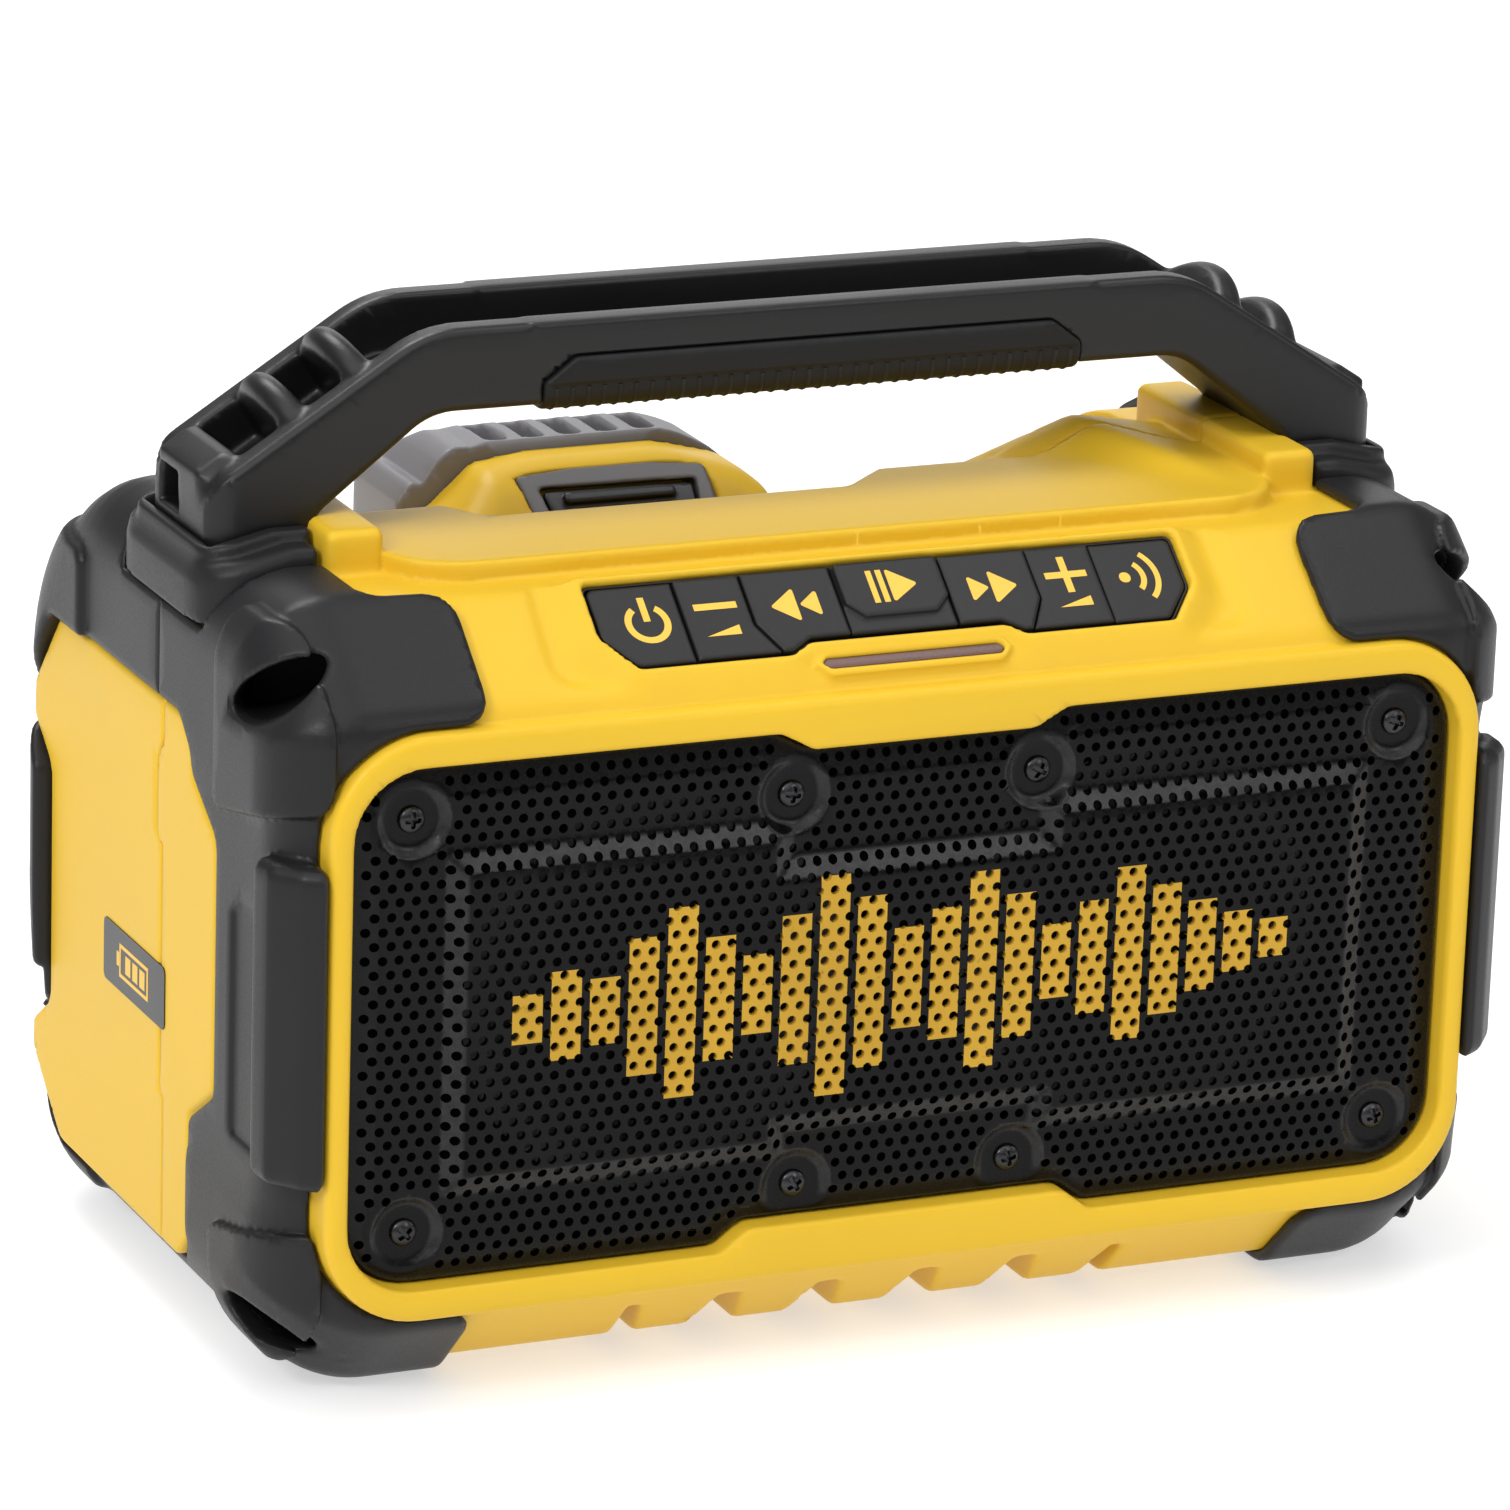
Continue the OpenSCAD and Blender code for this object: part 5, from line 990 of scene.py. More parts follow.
def handle_form(c):
    """Handle with its rails, the channel between them, and tongues and pockets in its legs."""
    x, y = np.abs(c.x), np.abs(c.y - HANDLE_Y)
    rail = y - HANDLE_HALF + RAIL_T
    gap = blunt(rim(HANDLE_LINE, c.x, c.z), y - HANDLE_HALF, 1.8)
    lip = blunt(blunt(slab(y, 10.8, 18.9), slab(c.z, 198.4, HANDLE_Z), 0.9), x - 61, 0.9)
    gap = join(gap, lip, 0.7)
    along, out = leg_axes(c)
    hollow = within(rim(CHANNEL_LINE, x, c.z), rail)
    for low, high in LEG_POCKETS:
        pocket = blunt(slab(along, low, high), rail, 2.0)
        hollow = together(hollow, blunt(pocket, -LEG_POCKET_DEPTH - out, 1.5))
    gap = carve(gap, hollow, 1.0)
    for at in LEG_TONGUES:
        crown = 2.4 - 4.4*(y/12.5)**2
        tongue = np.hypot(along - at, np.maximum(out - crown, 0)) - TONGUE_R
        gap = join(gap, blunt(within(tongue, -TONGUE_DEPTH - out), y - TONGUE_HALF, 2.0), 0.9)
    end = x - LEG_OUT - LEG_SWELL
    shoulder = blunt(slab(along, *LEG_SHOULDER), y - SHOULDER_HALF, 3.0)
    shoulder = blunt(shoulder, within(out - 1.6, end), 3.0)
    gap = join(gap, within(shoulder, 165 - c.z), 1.5)
    gap = within(gap, blunt(end, y - HANDLE_HALF, 7.0))
    window = within(LEG_OUT - 6 - x, slab(c.z, 164, 172), slab(c.y - HANDLE_Y, 0.5, 11))
    gap = carve(gap, window, 0.8)
    gap = without(gap, grip_zone(c, 0.05))
    return within(gap, BODY_GAP - c.body(0))


def grip_form(c):
    """Soft grip with a slightly raised band along its upper edge."""
    y = np.abs(c.y - HANDLE_Y)
    skin = blunt(y - HANDLE_HALF - GRIP_T, GRIP_LOW - c.z, GRIP_R)
    band = blunt(slab(c.z, 189.2, 260), y - HANDLE_HALF - GRIP_T - 0.45, 0.4)
    skin = together(skin, within(band, skin - 0.5))
    return blunt(grip_zone(c, 0.0), skin, 0.7)


def socket_room(c):
    """Room that a bumper leaves for the handle's left socket."""
    return within(rim(SOCKET_PLAN, c.x, c.y - HANDLE_Y) - SOCKET_CLEAR, DECK_Z - SOCKET_FOOT - c.z)


def socket_form(c):
    """Left socket of the handle: flange with large outer rounds, and a collar round the leg."""
    y = c.y - HANDLE_Y
    flange = rim(rounded([
        (-SOCKET_IN, UNDER_DECK, 0), (-SOCKET_IN, DECK_Z + 5.6, 1.5), (-SOCKET_IN - 6, DECK_Z + 5.6, 6),
        (-SOCKET_OUT + 2.5, DECK_Z + 1.6, 3), (-SOCKET_OUT, DECK_Z - 2, 2), (-SOCKET_OUT, DECK_Z - 9.9, 0),
        (-SOCKET_OUT, UNDER_DECK, 0)]), c.x, c.z)
    gap = blunt(rim(SOCKET_PLAN, c.x, y), flange, 3.0)
    plan = rim(rounded([
        (-COLLAR_OUT, -COLLAR_HALF, 8), (-SOCKET_IN - 0.1, -COLLAR_HALF, 2),
        (-SOCKET_IN - 0.1, COLLAR_HALF, 2), (-COLLAR_OUT, COLLAR_HALF, 8)]), c.x, y)
    rise = rim([
        (-SOCKET_IN, UNDER_DECK), (-SOCKET_IN, DECK_Z + 7.7), (-SOCKET_IN - 8, DECK_Z + 7.7),
        (-COLLAR_OUT, DECK_Z + 4.4), (-COLLAR_OUT, UNDER_DECK)], c.x, c.z)
    gap = join(gap, blunt(plan, rise, 1.2), 1.0)
    leg = within(slab(c.x, -LEG_OUT - 0.3, -LEG_IN + 0.3), np.abs(y) - HANDLE_HALF - 0.3)
    gap = carve(gap, leg, 0.7)
    return within(gap, DECK_Z - 9.9 - c.z, BODY_GAP - c.body(0))


class SPEAKER_OT_handle(bpy.types.Operator):
    """Carry handle with its soft grip, the grip's ribs and the two sockets"""
    bl_idname = "speaker.handle"
    bl_label = "Handle"

    def execute(self, context):
        sizes = context.scene.speaker_sizes
        step = sizes.rubber_cell/MM
        c = Cells((-130, -26, 148), (130, 16, 204), step*0.8)
        piece("handle_moulding", cast("handle_moulding", c, handle_form(c)), "handle_plastic",
              replaces=("handle",))
        c = Cells((-60, -26, 181), (60, 16, 196), step*0.7)
        piece("grip_skin", cast("grip_skin", c, grip_form(c)), "grip_rubber", replaces=("handle_grip",))
        piece("grip_ribs", grip_ribs(sizes.rib_count), "grip_rubber")
        c = Cells((-133, -34, 147), (-106, 24, 167), step*0.8)
        gap = socket_form(c)
        for side in ("left", "right"):
            node = side + "_handle_socket"
            piece(node + "_moulding", cast(node, c, gap, mirror=side == "right"), "bumper_rubber",
                  replaces=(node,))
        return {"FINISHED"}


# Repeated forms by geometry nodes

class Nest(Tree):
    """Node group that makes a repeated form, with named inputs."""

    def __init__(self, name, **inputs):
        old = bpy.data.node_groups.get(name)
        if old:
            bpy.data.node_groups.remove(old)
        self.tree = bpy.data.node_groups.new(name, "GeometryNodeTree")
        face = self.tree.interface
        face.new_socket("Geometry", in_out="INPUT", socket_type="NodeSocketGeometry")
        for key, kind in inputs.items():
            face.new_socket(key, in_out="INPUT", socket_type="NodeSocket" + kind)
        face.new_socket("Geometry", in_out="OUTPUT", socket_type="NodeSocketGeometry")
        self.source = self.tree.nodes.new("NodeGroupInput").outputs

    def along(self, axis, value):
        """Vector with one part."""
        return self.add("ShaderNodeCombineXYZ", {axis: value}).outputs[0]

    def end(self, geometry, finish):
        real = self.add("GeometryNodeRealizeInstances", {"Geometry": geometry})
        paint = self.add("GeometryNodeSetMaterial", {"Geometry": real.outputs[0], "Material": FINISH[finish]})
        out = self.tree.nodes.new("NodeGroupOutput")
        self.tree.links.new(paint.outputs[0], out.inputs[0])

    def bake(self, name, base, **values):
        """Mesh that the group makes from a base mesh with these input values."""
        ob = bpy.data.objects.new(name, base)
        bpy.context.scene.collection.objects.link(ob)
        mod = ob.modifiers.new("form", "NODES")
        mod.node_group = self.tree
        ids = {s.name: s.identifier for s in self.tree.interface.items_tree
               if s.item_type == "SOCKET" and s.in_out == "INPUT"}
        for key, value in values.items():
            mod[ids[key]] = value
        ob.update_tag()
        graph = bpy.context.evaluated_depsgraph_get()
        me = bpy.data.meshes.new_from_object(ob.evaluated_get(graph))
        ob.modifiers.clear()
        bpy.data.objects.remove(ob)
        if not len(me.polygons):
            raise RuntimeError(f"{name} came out empty")
        me.name = name
        return me


def points_mesh(name, points, edges=()):
    """Mesh of loose points, or of a line when edges are given."""
    me = bpy.data.meshes.new(name)
    me.from_pydata([Vector(p)*MM for p in points], list(edges), [])
    return me


def grip_ribs(count):
    """Half-round ribs across the underside of the grip, carried part of the way up both faces."""
    front, low = HANDLE_Y - HANDLE_HALF - GRIP_T + 0.25, GRIP_LOW + 0.25
    section = [(0, front, RIB_TOP), (0, front, low + GRIP_R)]
    for k in range(1, 6):
        a = math.radians(90*k/6)
        section.append((0, front + GRIP_R - GRIP_R*math.cos(a), low + GRIP_R - GRIP_R*math.sin(a)))
    section.append((0, front + GRIP_R, low))
    section += [(0, 2*HANDLE_Y - y, z) for _, y, z in section[::-1]]
    line = points_mesh("rib_line", section, [(i, i + 1) for i in range(len(section) - 1)])
    nest = Nest("grip_ribs", Count="Int", Radius="Float", Pitch="Float")
    count_in, pitch = nest.source["Count"], nest.source["Pitch"]
    curve = nest.add("GeometryNodeMeshToCurve", {"Mesh": nest.source["Geometry"]})
    ring = nest.add("GeometryNodeCurvePrimitiveCircle", {"Resolution": 8, "Radius": nest.source["Radius"]})
    rib = nest.add("GeometryNodeCurveToMesh", {
        "Curve": curve.outputs[0], "Profile Curve": ring.outputs[0], "Fill Caps": True})
    reach = nest.math("MULTIPLY", nest.math("SUBTRACT", count_in, 1.0), -0.5)
    first = nest.math("MULTIPLY", reach, pitch)
    row = nest.add("GeometryNodeMeshLine", {
        "Count": count_in, "Start Location": nest.along("X", first), "Offset": nest.along("X", pitch)})
    spread = nest.add("GeometryNodeInstanceOnPoints", {"Points": row.outputs[0], "Instance": rib.outputs[0]})
    nest.end(spread.outputs[0], "grip_rubber")
    return nest.bake("grip_ribs", line, Count=count, Radius=RIB_R*MM, Pitch=RIB_SPAN*MM/(count - 1))


def screw_head_form(c, head_r):
    """Domed head with a cross recess."""
    r, x, y = np.hypot(c.x, c.y), np.abs(c.x), np.abs(c.y)
    dome = np.hypot(r, c.z + 2.2) - 3.9*head_r/GRILLE_SCREW[0]
    head = blunt(blunt(r - head_r, -c.z, 0.1), dome, 0.3)
    cross = together(within(x - CROSS_HALF, y - CROSS_ARM), within(y - CROSS_HALF, x - CROSS_ARM))
    recess = within(cross, r - CROSS_ARM - 0.5*(c.z - 1.0), CROSS_FLOOR - c.z)
    return carve(head, recess, 0.12)


def screws(name, places, size, turn, node):
    """Cross-recessed pan screws at the given places, one piece for all of them."""
    head_r, shank_r, shank_l = size
    c = Cells((-head_r, -head_r, -1.2), (head_r, head_r, 2.4), 0.16)
    head = bpy.data.objects.new("screw_head", cast("screw_head", c, screw_head_form(c, head_r), 0.02))
    bpy.context.scene.collection.objects.link(head)
    nest = Nest(name, Head="Object", Turn="Vector", Shank="Float", Length="Float")
    length = nest.source["Length"]
    info = nest.add("GeometryNodeObjectInfo", {"Object": nest.source["Head"]})
    rod = nest.add("GeometryNodeMeshCylinder", {
        "Vertices": 16, "Radius": nest.source["Shank"], "Depth": length})
    sunk = nest.add("GeometryNodeTransform", {
        "Geometry": rod.outputs["Mesh"],
        "Translation": nest.along("Z", nest.math("MULTIPLY", length, -0.49))})
    both = nest.add("GeometryNodeJoinGeometry")
    nest.tree.links.new(info.outputs["Geometry"], both.inputs[0])
    nest.tree.links.new(sunk.outputs[0], both.inputs[0])
    number = nest.add("GeometryNodeInputIndex")
    spin = nest.along("Z", nest.math("MULTIPLY", number.outputs[0], 0.7))
    own = nest.add("FunctionNodeEulerToRotation", {0: spin})
    lay = nest.add("FunctionNodeEulerToRotation", {0: nest.source["Turn"]})
    turned = nest.add("FunctionNodeRotateRotation", {
        0: lay.outputs[0], 1: own.outputs[0]}, rotation_space="LOCAL")
    spread = nest.add("GeometryNodeInstanceOnPoints", {
        "Points": nest.source["Geometry"], "Instance": both.outputs[0], "Rotation": turned.outputs[0]})
    nest.end(spread.outputs[0], "screw_steel")
    marks = points_mesh(name + "_marks", places)
    me = nest.bake(name, marks, Head=head, Turn=turn, Shank=shank_r*MM, Length=shank_l*MM)
    bpy.data.objects.remove(head)
    piece(name, me, "screw_steel", replaces=(node,))
    me.set_sharp_from_angle(angle=math.radians(35))


# Grille

def grille_sheet_form(c):
    """Pressed sheet: raised field with sloped borders, dimples for the screws, and edges turned back."""
    x, z = np.abs(c.x), c.z
    edge = rim(OPENING_LINE, c.x, c.z) + EDGE_GAP
    field = together(
        within(x - FIELD_X, slab(z, FIELD_Z0 + 5, FIELD_Z1 - 7.5)),
        within(slab(x, 26, FIELD_X), slab(z, FIELD_Z0, FIELD_Z1)))
    rise = FIELD_H*np.clip(-field/FIELD_SLOPE, 0, 1) - EDGE_DROP*np.clip(1 + edge/EDGE_ROLL, 0, 1)
    for sx, sz in RIGHT_GRILLE_SCREWS:
        away = np.hypot(x - sx, z - sz)
        rise = rise + (-DIMPLE_H - rise)*np.clip((DIMPLE_R + 0.6 - away)/DIMPLE_RAMP, 0, 1)
    face = (RIM_Y - c.y - rise)*0.92
    hollow = within(edge + GRILLE_T, face + GRILLE_T)
    return within(blunt(edge, face, 0.8), -hollow, c.y - BAFFLE_Y + 0.4)


def hole_places(pitch):
    """Middles of the perforations in staggered rows, clear of the edge and the screws."""
    row = pitch*math.sqrt(3)/2
    rows, columns = int(60/row), int(125/pitch)
    at = np.array([((i + 0.5*(j % 2))*pitch, DRIVER_Z + j*row)
                   for j in range(-rows, rows + 1) for i in range(-columns, columns + 1)])
    keep = rim(OPENING_LINE, at[:, 0], at[:, 1]) < -HOLE_EDGE
    for x, z in GRILLE_SCREWS:
        keep &= np.hypot(at[:, 0] - x, at[:, 1] - z) > DIMPLE_R + HOLE_SCREW
    return at[keep]


def perforated(sheet, places, diameter):
    """The sheet with a round hole through it at each place."""
    marks = bpy.data.meshes.new("hole_marks")
    marks.from_pydata([(x*MM, RIM_Y*MM, z*MM) for x, z in places], [], [])
    marks = bpy.data.objects.new("hole_marks", marks)
    bpy.context.scene.collection.objects.link(marks)
    nest = Nest("perforations", Marks="Object", Diameter="Float", Depth="Float", Sides="Int")
    spots = nest.add("GeometryNodeObjectInfo", {"Object": nest.source["Marks"]})
    drill = nest.add("GeometryNodeMeshCylinder", {
        "Vertices": nest.source["Sides"], "Depth": nest.source["Depth"],
        "Radius": nest.math("MULTIPLY", nest.source["Diameter"], 0.5)})
    drills = nest.add("GeometryNodeInstanceOnPoints", {
        "Points": spots.outputs["Geometry"], "Instance": drill.outputs["Mesh"],
        "Rotation": (math.pi/2, 0, 0)})
    solid = nest.add("GeometryNodeRealizeInstances", {"Geometry": drills.outputs[0]})
    cut = nest.add("GeometryNodeMeshBoolean", {
        "Mesh 1": nest.source["Geometry"], "Mesh 2": solid.outputs[0]},
        operation="DIFFERENCE", solver="MANIFOLD")
    nest.end(cut.outputs["Mesh"], "grille_paint")
    me = nest.bake("grille_sheet", sheet, Marks=marks, Diameter=diameter, Depth=DRILL_LENGTH*MM,
                   Sides=HOLE_SIDES)
    bpy.data.objects.remove(marks)
    return me


def baffle_paint_form(c):
    """Dark face of the baffle behind the grille, open at the drivers."""
    face = within(rim(OPENING_LINE, c.x, c.z) + 1.6, slab(c.y, BAFFLE_Y - 0.6, BAFFLE_Y + 0.1))
    for s in (-1, 1):
        face = within(face, CUTOUT_R + 0.2 - np.hypot(c.x - s*DRIVER_X, c.z - DRIVER_Z))
    return face


class SPEAKER_OT_grille(bpy.types.Operator):
    """Perforated steel grille with its raised field, and the eight screws in their dimples"""
    bl_idname = "speaker.grille"
    bl_label = "Grille"

    def execute(self, context):
        sizes = context.scene.speaker_sizes
        c = Cells((-119, -81, 26), (119, -69, 133), 0.8)
        sheet = cast("grille_sheet", c, grille_sheet_form(c), 0.02)
        me = perforated(sheet, hole_places(sizes.hole_pitch/MM), sizes.hole_d)
        piece("grille_plate", me, "grille_paint", replaces=("grille",))
        me.set_sharp_from_angle(angle=math.radians(40))
        c = Cells((-118, BAFFLE_Y - 1, 27), (118, BAFFLE_Y + 0.5, 132), 0.5)
        piece("baffle_paint", cast("baffle_paint", c, baffle_paint_form(c), 0.2), "slot_black",
              slot="black_plastic")
        places = [(x, RIM_Y + DIMPLE_H, z) for x, z in GRILLE_SCREWS]
        screws("grille_screw_set", places, GRILLE_SCREW, (math.pi/2, 0, 0), "grille_screws")
        return {"FINISHED"}


# Keypad

def arc_band(u, v, r, width, a0, a1, n=18):
    """Outline of a thick arc between two angles."""
    turns = [math.radians(a0 + (a1 - a0)*k/n) for k in range(n + 1)]
    outer = [(u + (r + width/2)*math.cos(a), v + (r + width/2)*math.sin(a)) for a in turns]
    inner = [(u + (r - width/2)*math.cos(a), v + (r - width/2)*math.sin(a)) for a in turns[::-1]]
    return outer + inner


def bar(u, v, w, h):
    """Outline of an upright rectangle about its middle."""
    return [(u - w/2, v - h/2), (u + w/2, v - h/2), (u + w/2, v + h/2), (u - w/2, v + h/2)]


def wedge(u, v, w, h, side):
    """Triangle that points left (-1) or right (1)."""
    return rounded([(u - side*w/2, v - h/2, 0.4), (u + side*w/2, v, 0.4), (u - side*w/2, v + h/2, 0.4)], 30)


def level_ramp(u, v):
    """Long triangle that stands for a rising level."""
    return [(u - 3.6, v - 1.1), (u + 3.6, v - 1.1), (u + 3.6, v + 1.1)]


def key_icons():
    """Generic marks for each key: outlines across and up the slope."""
    power, down, back, _, forward, louder, pair = [(a + b)/2 for a, b in zip(KEY_EDGES, KEY_EDGES[1:])]
    power, pair, v = power + 1.5, pair - 3.4, ICON_V
    return {
        "power_key": [arc_band(power, v - 0.6, 4.0, 1.4, 125, 415, 30), bar(power, v + 2.6, 1.4, 5.6)],
        "volume_down_key": [bar(down, v + 1.6, 9.0, 1.5), level_ramp(down, v - 4.2)],
        "previous_key": [wedge(back - 2.6, v, 5.6, 8.0, -1), wedge(back + 2.8, v, 4.2, 6.2, -1)],
        "play_key": [bar(-4.3, v + 2, 1.2, 7.6), bar(-2.2, v + 2, 1.2, 7.6), wedge(2.2, v + 2, 6.0, 8.0, 1)],
        "next_key": [wedge(forward - 2.8, v, 4.2, 6.2, 1), wedge(forward + 2.6, v, 5.6, 8.0, 1)],
        "volume_up_key": [bar(louder, v + 1.6, 9.0, 1.5), bar(louder, v + 4.1, 1.5, 3.5),
                          bar(louder, v - 0.9, 1.5, 3.5), level_ramp(louder, v - 4.9)],
        "pairing_key": [box_line(pair - 1.2, v - 1.2, pair + 1.2, v + 1.2, 1.1, 20),
                        arc_band(pair, v, 4.0, 1.2, -48, 48), arc_band(pair, v, 7.0, 1.2, -48, 48)],
    }


def keypad_pan_form(c):
    """Shallow pan that the keys stand in."""
    outline = rim(keypad_line(0.0), c.x, c.y)
    pan = blunt(outline, slab(c.z, -3.6, 0.7), 0.4)
    return carve(pan, within(outline + 0.6, -1.4 - c.z), 0.15)


def key_form(c, low, high, level):
    """Key between two edges; the edges beside the skip keys turn in at the bottom."""
    turn_in = np.maximum(KEY_TURN_V - c.y, 0)*KEY_TURN
    turned = KEY_EDGES[5]
    left, right = [-math.copysign(1.0, edge)*turn_in if abs(edge) == turned else 0*turn_in
                   for edge in (low, high)]
    flanks = within(low + left + KEY_GAP - c.x, c.x - high - right + KEY_GAP)*0.85
    plan = within(rim(keypad_line(-0.85), c.x, c.y), flanks)
    return plan, blunt(plan, slab(c.z, -0.5, level), 0.5)


def play_key_form(c, plan, form):
    """The middle key with its raised face."""
    face = rim(rounded([(-11.0, 26, 1), (-11.0, 16.6, 1), (-7.6, 13.2, 1), (7.6, 13.2, 1), (11.0, 16.6, 1),
                        (11.0, 26, 1)]), c.x, c.y)
    return join(form, blunt(within(face, plan), slab(c.z, 0, PLAY_LEVEL), 0.5), 0.3)


class SPEAKER_OT_keypad(bpy.types.Operator):
    """Keypad frame, the seven keys with their marks, and the smoked status lens"""
    bl_idname = "speaker.keypad"
    bl_label = "Keypad"

    def execute(self, context):
        c = Cells((-66, 4, -5), (66, 30, 3), 0.34)
        piece("keypad_pan", cast("keypad_pan", c, keypad_pan_form(c), place=on_slope), "key_rubber",
              replaces=("keypad_frame",))
        icons = key_icons()
        for node, low, high, top in zip(KEY_NODES, KEY_EDGES, KEY_EDGES[1:], KEY_LEVELS):
            c = Cells((low - 4, 4, -2), (high + 4, 29, 4), 0.3)
            plan, form = key_form(c, low, high, top)
            if node == "play_key":
                form, top = play_key_form(c, plan, form), PLAY_LEVEL
            body = node + "_body"
            piece(node + "_cap", cast(node, c, form, place=on_slope), "key_rubber", body, replaces=(node,))
            mark = sheet_mesh(node + "_mark", icons[node], top + INK_LOW, top + INK_HIGH, on_slope)
            piece(node + "_mark", mark, "icon_print", body, "key_rubber", smooth=False)
        lens = sheet_mesh("lens_bar", [lens_line(-0.05)], -2.0, 0.9, on_slope)
        piece("lens_bar", lens, "smoked_lens", replaces=("status_lens",), smooth=False)
        soften(lens, lens, 0.35, 3, 0.5)
        return {"FINISHED"}


# Battery

ARCH_LINE = rounded([
    (-60, PACK_Z0, 4), (-60, 142, 4), (-52.5, 146.4, 4), (-44.5, 154.0, 6), (-34, 155.5, 18),
    (-4, 155.7, 24), (10.5, 152.0, 10), (16, 147.5, 5), (16, PACK_Z0, 4)])
COVER_LINE = rounded([
    (-60, PACK_Z0, 4), (-60, 146.5, 3.0), (-57.2, 150.6, 2.2), (-54.6, 150.0, 0.8), (-51.6, 154.6, 2.6),
    (-47.6, 157.6, 2.6), (-44, 157.2, 1.0), (-41, 158.5, 2.0), (-2, 158.7, 6), (9, 153.2, 8),
    (16, 147.5, 4), (16, PACK_Z0, 4)])
BACK_LINE = rounded([
    (PACK_Y, PACK_Z0, 3), (PACK_BACK, PACK_Z0, 8), (PACK_BACK, PACK_Z1 + 1.8, 16),
    (PACK_Y, PACK_Z1 + 1.8, 3)])


def latch_zone(c, grow):
    """Trapezoid on the sloped face where the release key and its surround sit."""
    up, _ = c.latch_face()
    return rim(rounded([
        (-39.3 - grow, 14.9 + grow, 1.0), (-37.2 - grow, 2.2 - grow, 1.5), (3.4 + grow, 2.2 - grow, 1.5),
        (2.6 + grow, 14.6 + grow, 1.5), (-9 + grow, 15.9 + grow, 8), (-26 + grow, 16.0 + grow, 8)]), c.x, up)


def side_steps(c, half, low, high, r):
    """Blocks that cut into both flanks of the pack, from a half width outwards."""
    spans = ((-200, PACK_X - half), (PACK_X + half, 200))
    return [brick(c, (x0, *low), (x1, *high), r) for x0, x1 in spans]


def battery_case_form(c):
    """Yellow front half of the pack, with its latch face, flank grooves, rails and contact slots."""
    _, out = c.latch_face()
    gap = blunt(rim(ARCH_LINE, c.x, c.z), rim(BACK_LINE, c.y, c.z), 3.0)
    gap = within(gap, c.y - PACK_Y - PACK_SPLIT + 0.15)
    gap = blunt(gap, out, 4.0)
    gap = carve(gap, within(latch_zone(c, 0.0), -6.0 - out), 0.6)
    for groove in side_steps(c, FLANK_GROOVE, (30, 52), (40, 120), 1.2):
        gap = carve(gap, groove, 0.5)
    off = np.abs(c.x - PACK_X)
    rails = within(
        together(within(off - 28, slab(c.y, PACK_Y - 8.4, PACK_Y - 4.4)),
                 within(off - 23, slab(c.y, PACK_Y - 8.4, PACK_Y + 1))),
        slab(c.z, PACK_Z0 + 4, PACK_Z1 - 20))
    gap = together(gap, rails)
    for i in range(CONTACT_COUNT):
        x = PACK_X + CONTACT_PITCH*(i - (CONTACT_COUNT - 1)/2)
        slot = slab(c.x, x - CONTACT_HALF, x + CONTACT_HALF)
        gap = without(gap, within(slot, slab(c.y, 0, 25), slab(c.z, 0, PACK_Z0 + 34)))
    return gap


def battery_cover_form(c):
    """Grey rear half of the pack, with notches on top, grooves on its back and stepped flanks."""
    gap = blunt(rim(COVER_LINE, c.x, c.z), rim(BACK_LINE, c.y, c.z), 3.0)
    gap = within(gap, COVER_Y + 0.1 - c.y)
    for i in range(VENT_COUNT):
        x = VENT_X + VENT_PITCH*i
        notch = brick(c, (x - VENT_HALF, COVER_Y + 1.8, PACK_Z1 - 9.0),
                      (x + VENT_HALF, 67, PACK_Z1 + 20), 1.4)
        gap = carve(gap, notch, 0.4)
    for z in range(70, 119, 12):
        groove = brick(c, (-52, PACK_BACK - 1.4, z - 1.2), (8, PACK_BACK + 20, z + 1.2), 0.6)
        gap = carve(gap, groove, 0.5)
    steps = side_steps(c, FLANK_STEP, (COVER_Y + 8, 60), (200, 112), 2.0)
    return carve(gap, together(*steps), 0.6)


def latch_surround_form(c):
    """Grey surround of the release key, with room under its rim for the key's travel."""
    up, out = c.latch_face()
    gap = blunt(latch_zone(c, -0.12), slab(out, -5.6, -0.5), 0.5)
    mouth = rim(rounded([(-34.9, 11.7, 1), (-33.6, 3.4, 1), (-0.9, 3.4, 1), (-0.3, 11.2, 1)]), c.x, up)
    travel = rim(rounded([(-35.1, 13.9, 1), (-33.6, 3.4, 1), (-0.9, 3.4, 1), (-0.2, 13.5, 1)]), c.x, up)
    return without(carve(gap, mouth, 0.4), within(travel, out + 1.15))


def release_key_form(c):
    """Release key with a ridge for the finger."""
    up, out = c.latch_face()
    outline = rim(rounded([
        (-34.2, 11.0, 1.2), (-33.0, 4.0, 1.2), (-1.5, 4.0, 1.2), (-1.0, 10.6, 1.2)]), c.x, up)
    gap = blunt(outline, slab(out, -3.8, -0.9), 0.5)
    ridge = rim(rounded([(-30.2, 9.7, 1), (-30.4, 7.0, 1), (-6.0, 7.0, 1), (-5.6, 9.5, 1)]), c.x, up)
    return join(gap, blunt(ridge, slab(out, -3, 0.6), 0.6), 0.4)


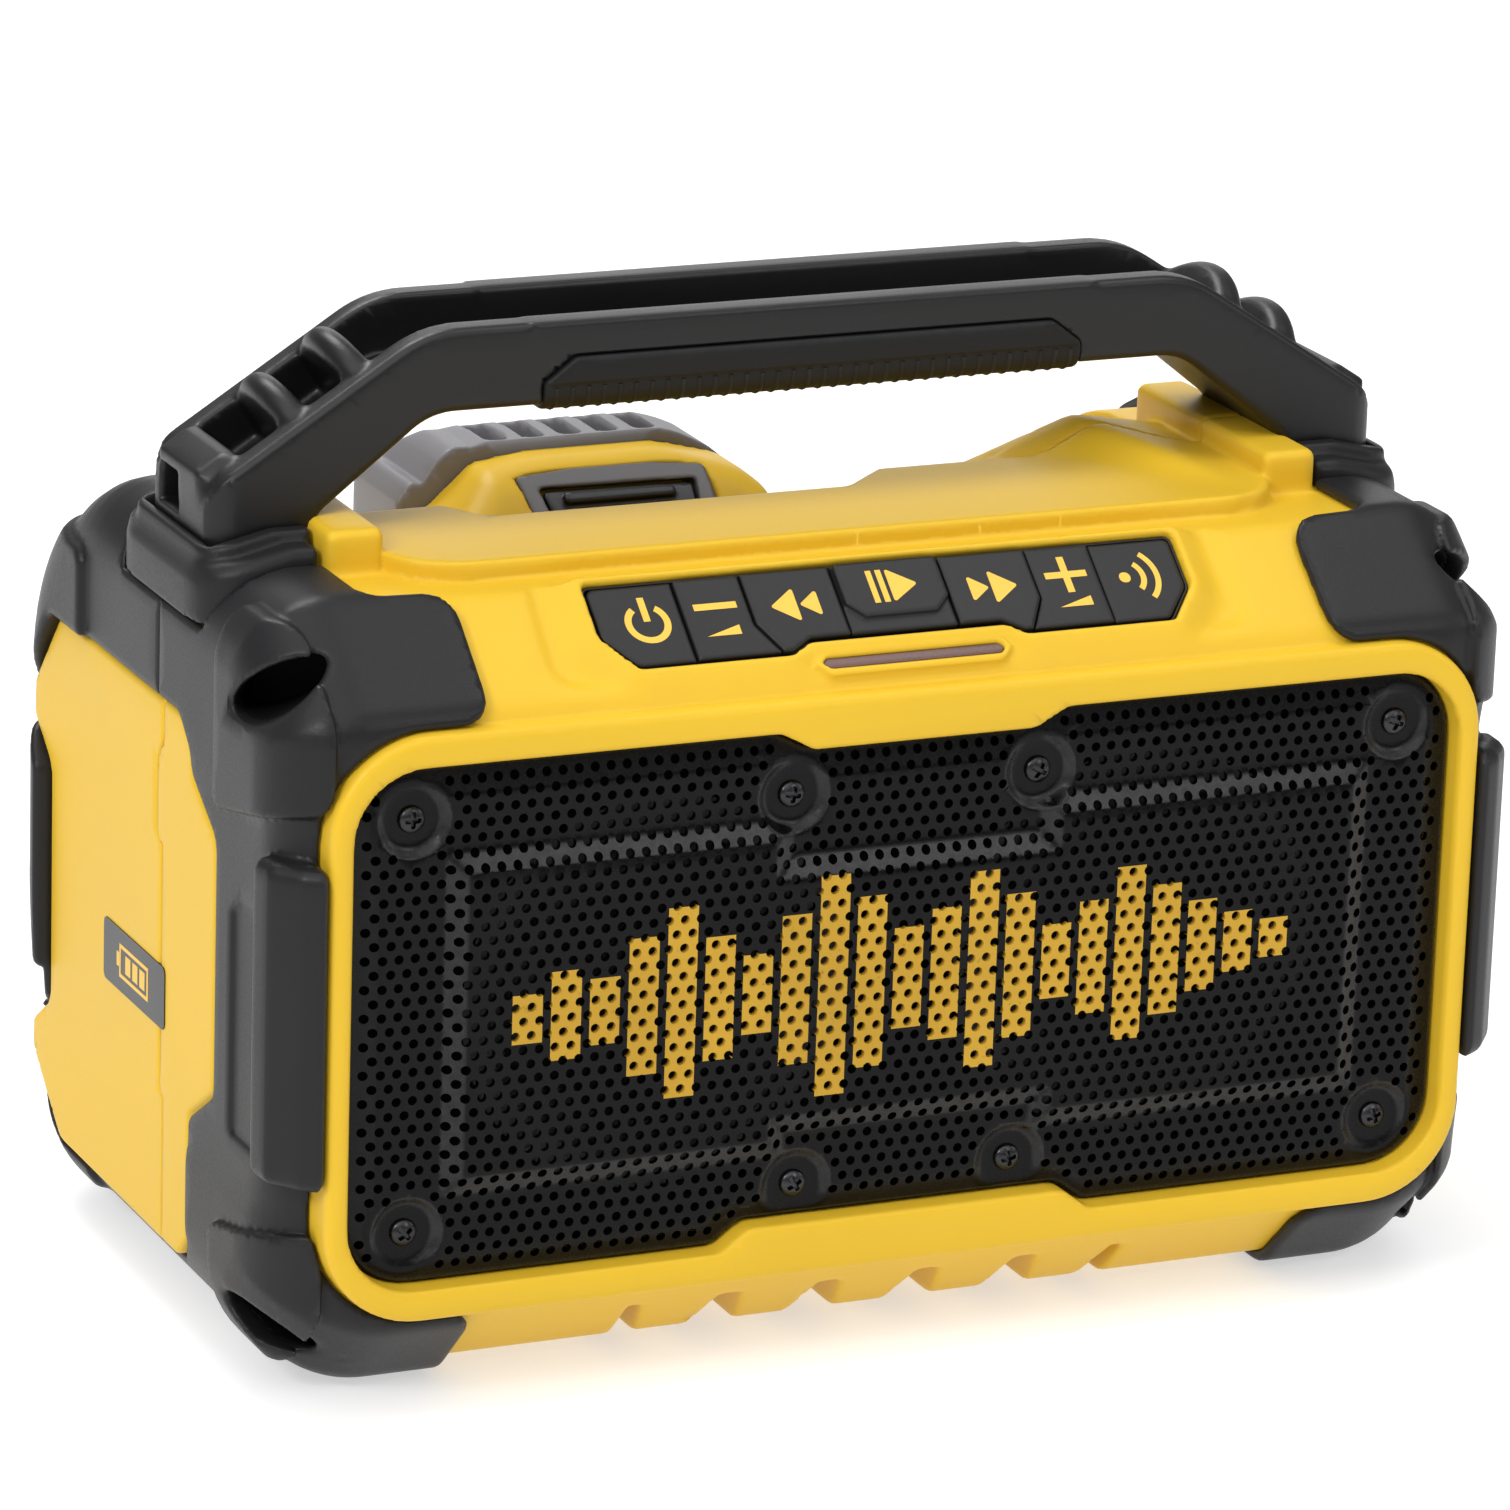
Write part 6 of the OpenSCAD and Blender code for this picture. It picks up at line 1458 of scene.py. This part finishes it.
class SPEAKER_OT_battery(bpy.types.Operator):
    """Battery pack: yellow case, grey cover, the release key and its surround"""
    bl_idname = "speaker.battery"
    bl_label = "Battery"

    def execute(self, context):
        step = context.scene.speaker_sizes.rubber_cell/MM
        pack = Cells((-62, PACK_Y - 9, PACK_Z0 - 1), (18, PACK_BACK + 1, PACK_Z1 + 2), step)
        for node, form, finish in (
                ("battery_case", battery_case_form, "yellow_plastic"),
                ("battery_cover", battery_cover_form, "cover_plastic")):
            piece(node + "_moulding", cast(node, pack, form(pack)), finish, "battery_pack", replaces=(node,))
        c = Cells((-41, PACK_Y - 2, 142), (4, PACK_Y + 18, PACK_Z1 + 2), 0.4)
        piece("latch_surround", cast("latch_surround", c, latch_surround_form(c)), "latch_grey",
              "battery_pack", "cover_plastic")
        piece("release_key", cast("release_key", c, release_key_form(c)), "black_plastic",
              "release_key_body", replaces=("battery_latch",))
        return {"FINISHED"}


# Back, sides and fastenings

def battery_icon(u, v):
    """Outline of a cell with three level bars, and its cap."""
    w, h, t = 17.0, 7.0, 0.8
    frame_bars = [bar(u, v + h/2 - t/2, w, t), bar(u, v - h/2 + t/2, w, t),
                  bar(u - w/2 + t/2, v, t, h - 2*t), bar(u + w/2 - t/2, v, t, h - 2*t)]
    levels = [bar(u - 5.0 + 4.2*i, v, 3.0, h - 3.2) for i in range(3)]
    return frame_bars + levels + [bar(u + w/2 + 0.9, v, 1.4, 3.0)]


class SPEAKER_OT_fittings(bpy.types.Operator):
    """Port door, case screws and the plate on the left side panel"""
    bl_idname = "speaker.fittings"
    bl_label = "Fittings"

    def execute(self, context):
        door = bpy.data.meshes.new("port_door_soft")
        soften(NODES["port_door"].data, door, context.scene.speaker_sizes.edge/MM, 2, 0.6)
        piece("port_door_soft", door, "bumper_rubber", "port_door_body", replaces=("port_door",),
              smooth=False)
        plate = sheet_mesh("left_plate", [box_line(-8.5, 59, 27.5, 72, 1.5)], -0.2, 0.25, on_left_panel)
        piece("left_plate", plate, "plate_print", slot="black_plastic", smooth=False)
        mark = sheet_mesh("left_plate_mark", battery_icon(9.5, 65.5), 0.2, 0.3, on_left_panel)
        piece("left_plate_mark", mark, "icon_print", slot="black_plastic", smooth=False)
        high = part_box("case_screws")[1]
        places = [(x, high[1]/MM - 2.4, z) for x, z in CASE_SCREWS]
        screws("case_screw_set", places, CASE_SCREW, (-math.pi/2, 0, 0), "case_screws")
        return {"FINISHED"}


class SPEAKER_PT_panel(bpy.types.Panel):
    """Sidebar list of the speaker's pieces"""
    bl_idname = "SPEAKER_PT_panel"
    bl_label = "Speaker"
    bl_space_type = "VIEW_3D"
    bl_region_type = "UI"
    bl_category = "Speaker"

    def draw(self, context):
        for cls in OPERATORS:
            self.layout.operator(cls.bl_idname)
        for group in (context.scene.speaker_sizes, context.scene.speaker_look):
            for key in group.__annotations__:
                self.layout.prop(group, key)


OPERATORS = (SPEAKER_OT_stage, SPEAKER_OT_housings, SPEAKER_OT_bumpers, SPEAKER_OT_handle, SPEAKER_OT_grille,
             SPEAKER_OT_keypad, SPEAKER_OT_battery, SPEAKER_OT_fittings)
CLASSES = (SpeakerSizes, SpeakerLook) + OPERATORS + (SPEAKER_PT_panel,)


def register():
    for cls in CLASSES:
        bpy.utils.register_class(cls)
    bpy.types.Scene.speaker_sizes = bpy.props.PointerProperty(type=SpeakerSizes)
    bpy.types.Scene.speaker_look = bpy.props.PointerProperty(type=SpeakerLook)


def unregister():
    del bpy.types.Scene.speaker_look
    del bpy.types.Scene.speaker_sizes
    for cls in reversed(CLASSES):
        bpy.utils.unregister_class(cls)


def main():
    register()
    make_finishes(bpy.context.scene.speaker_look)
    for entry in frame["record"]["subparts"]:
        ob = NODES[entry["node"]]
        ob.data.materials.clear()
        ob.data.materials.append(FINISH[entry["material_slot"]])
    bpy.ops.speaker.stage()
    bpy.ops.speaker.housings()
    bpy.ops.speaker.bumpers()
    bpy.ops.speaker.handle()
    bpy.ops.speaker.grille()
    bpy.ops.speaker.keypad()
    bpy.ops.speaker.battery()
    bpy.ops.speaker.fittings()


if __name__ == "__main__":
    main()
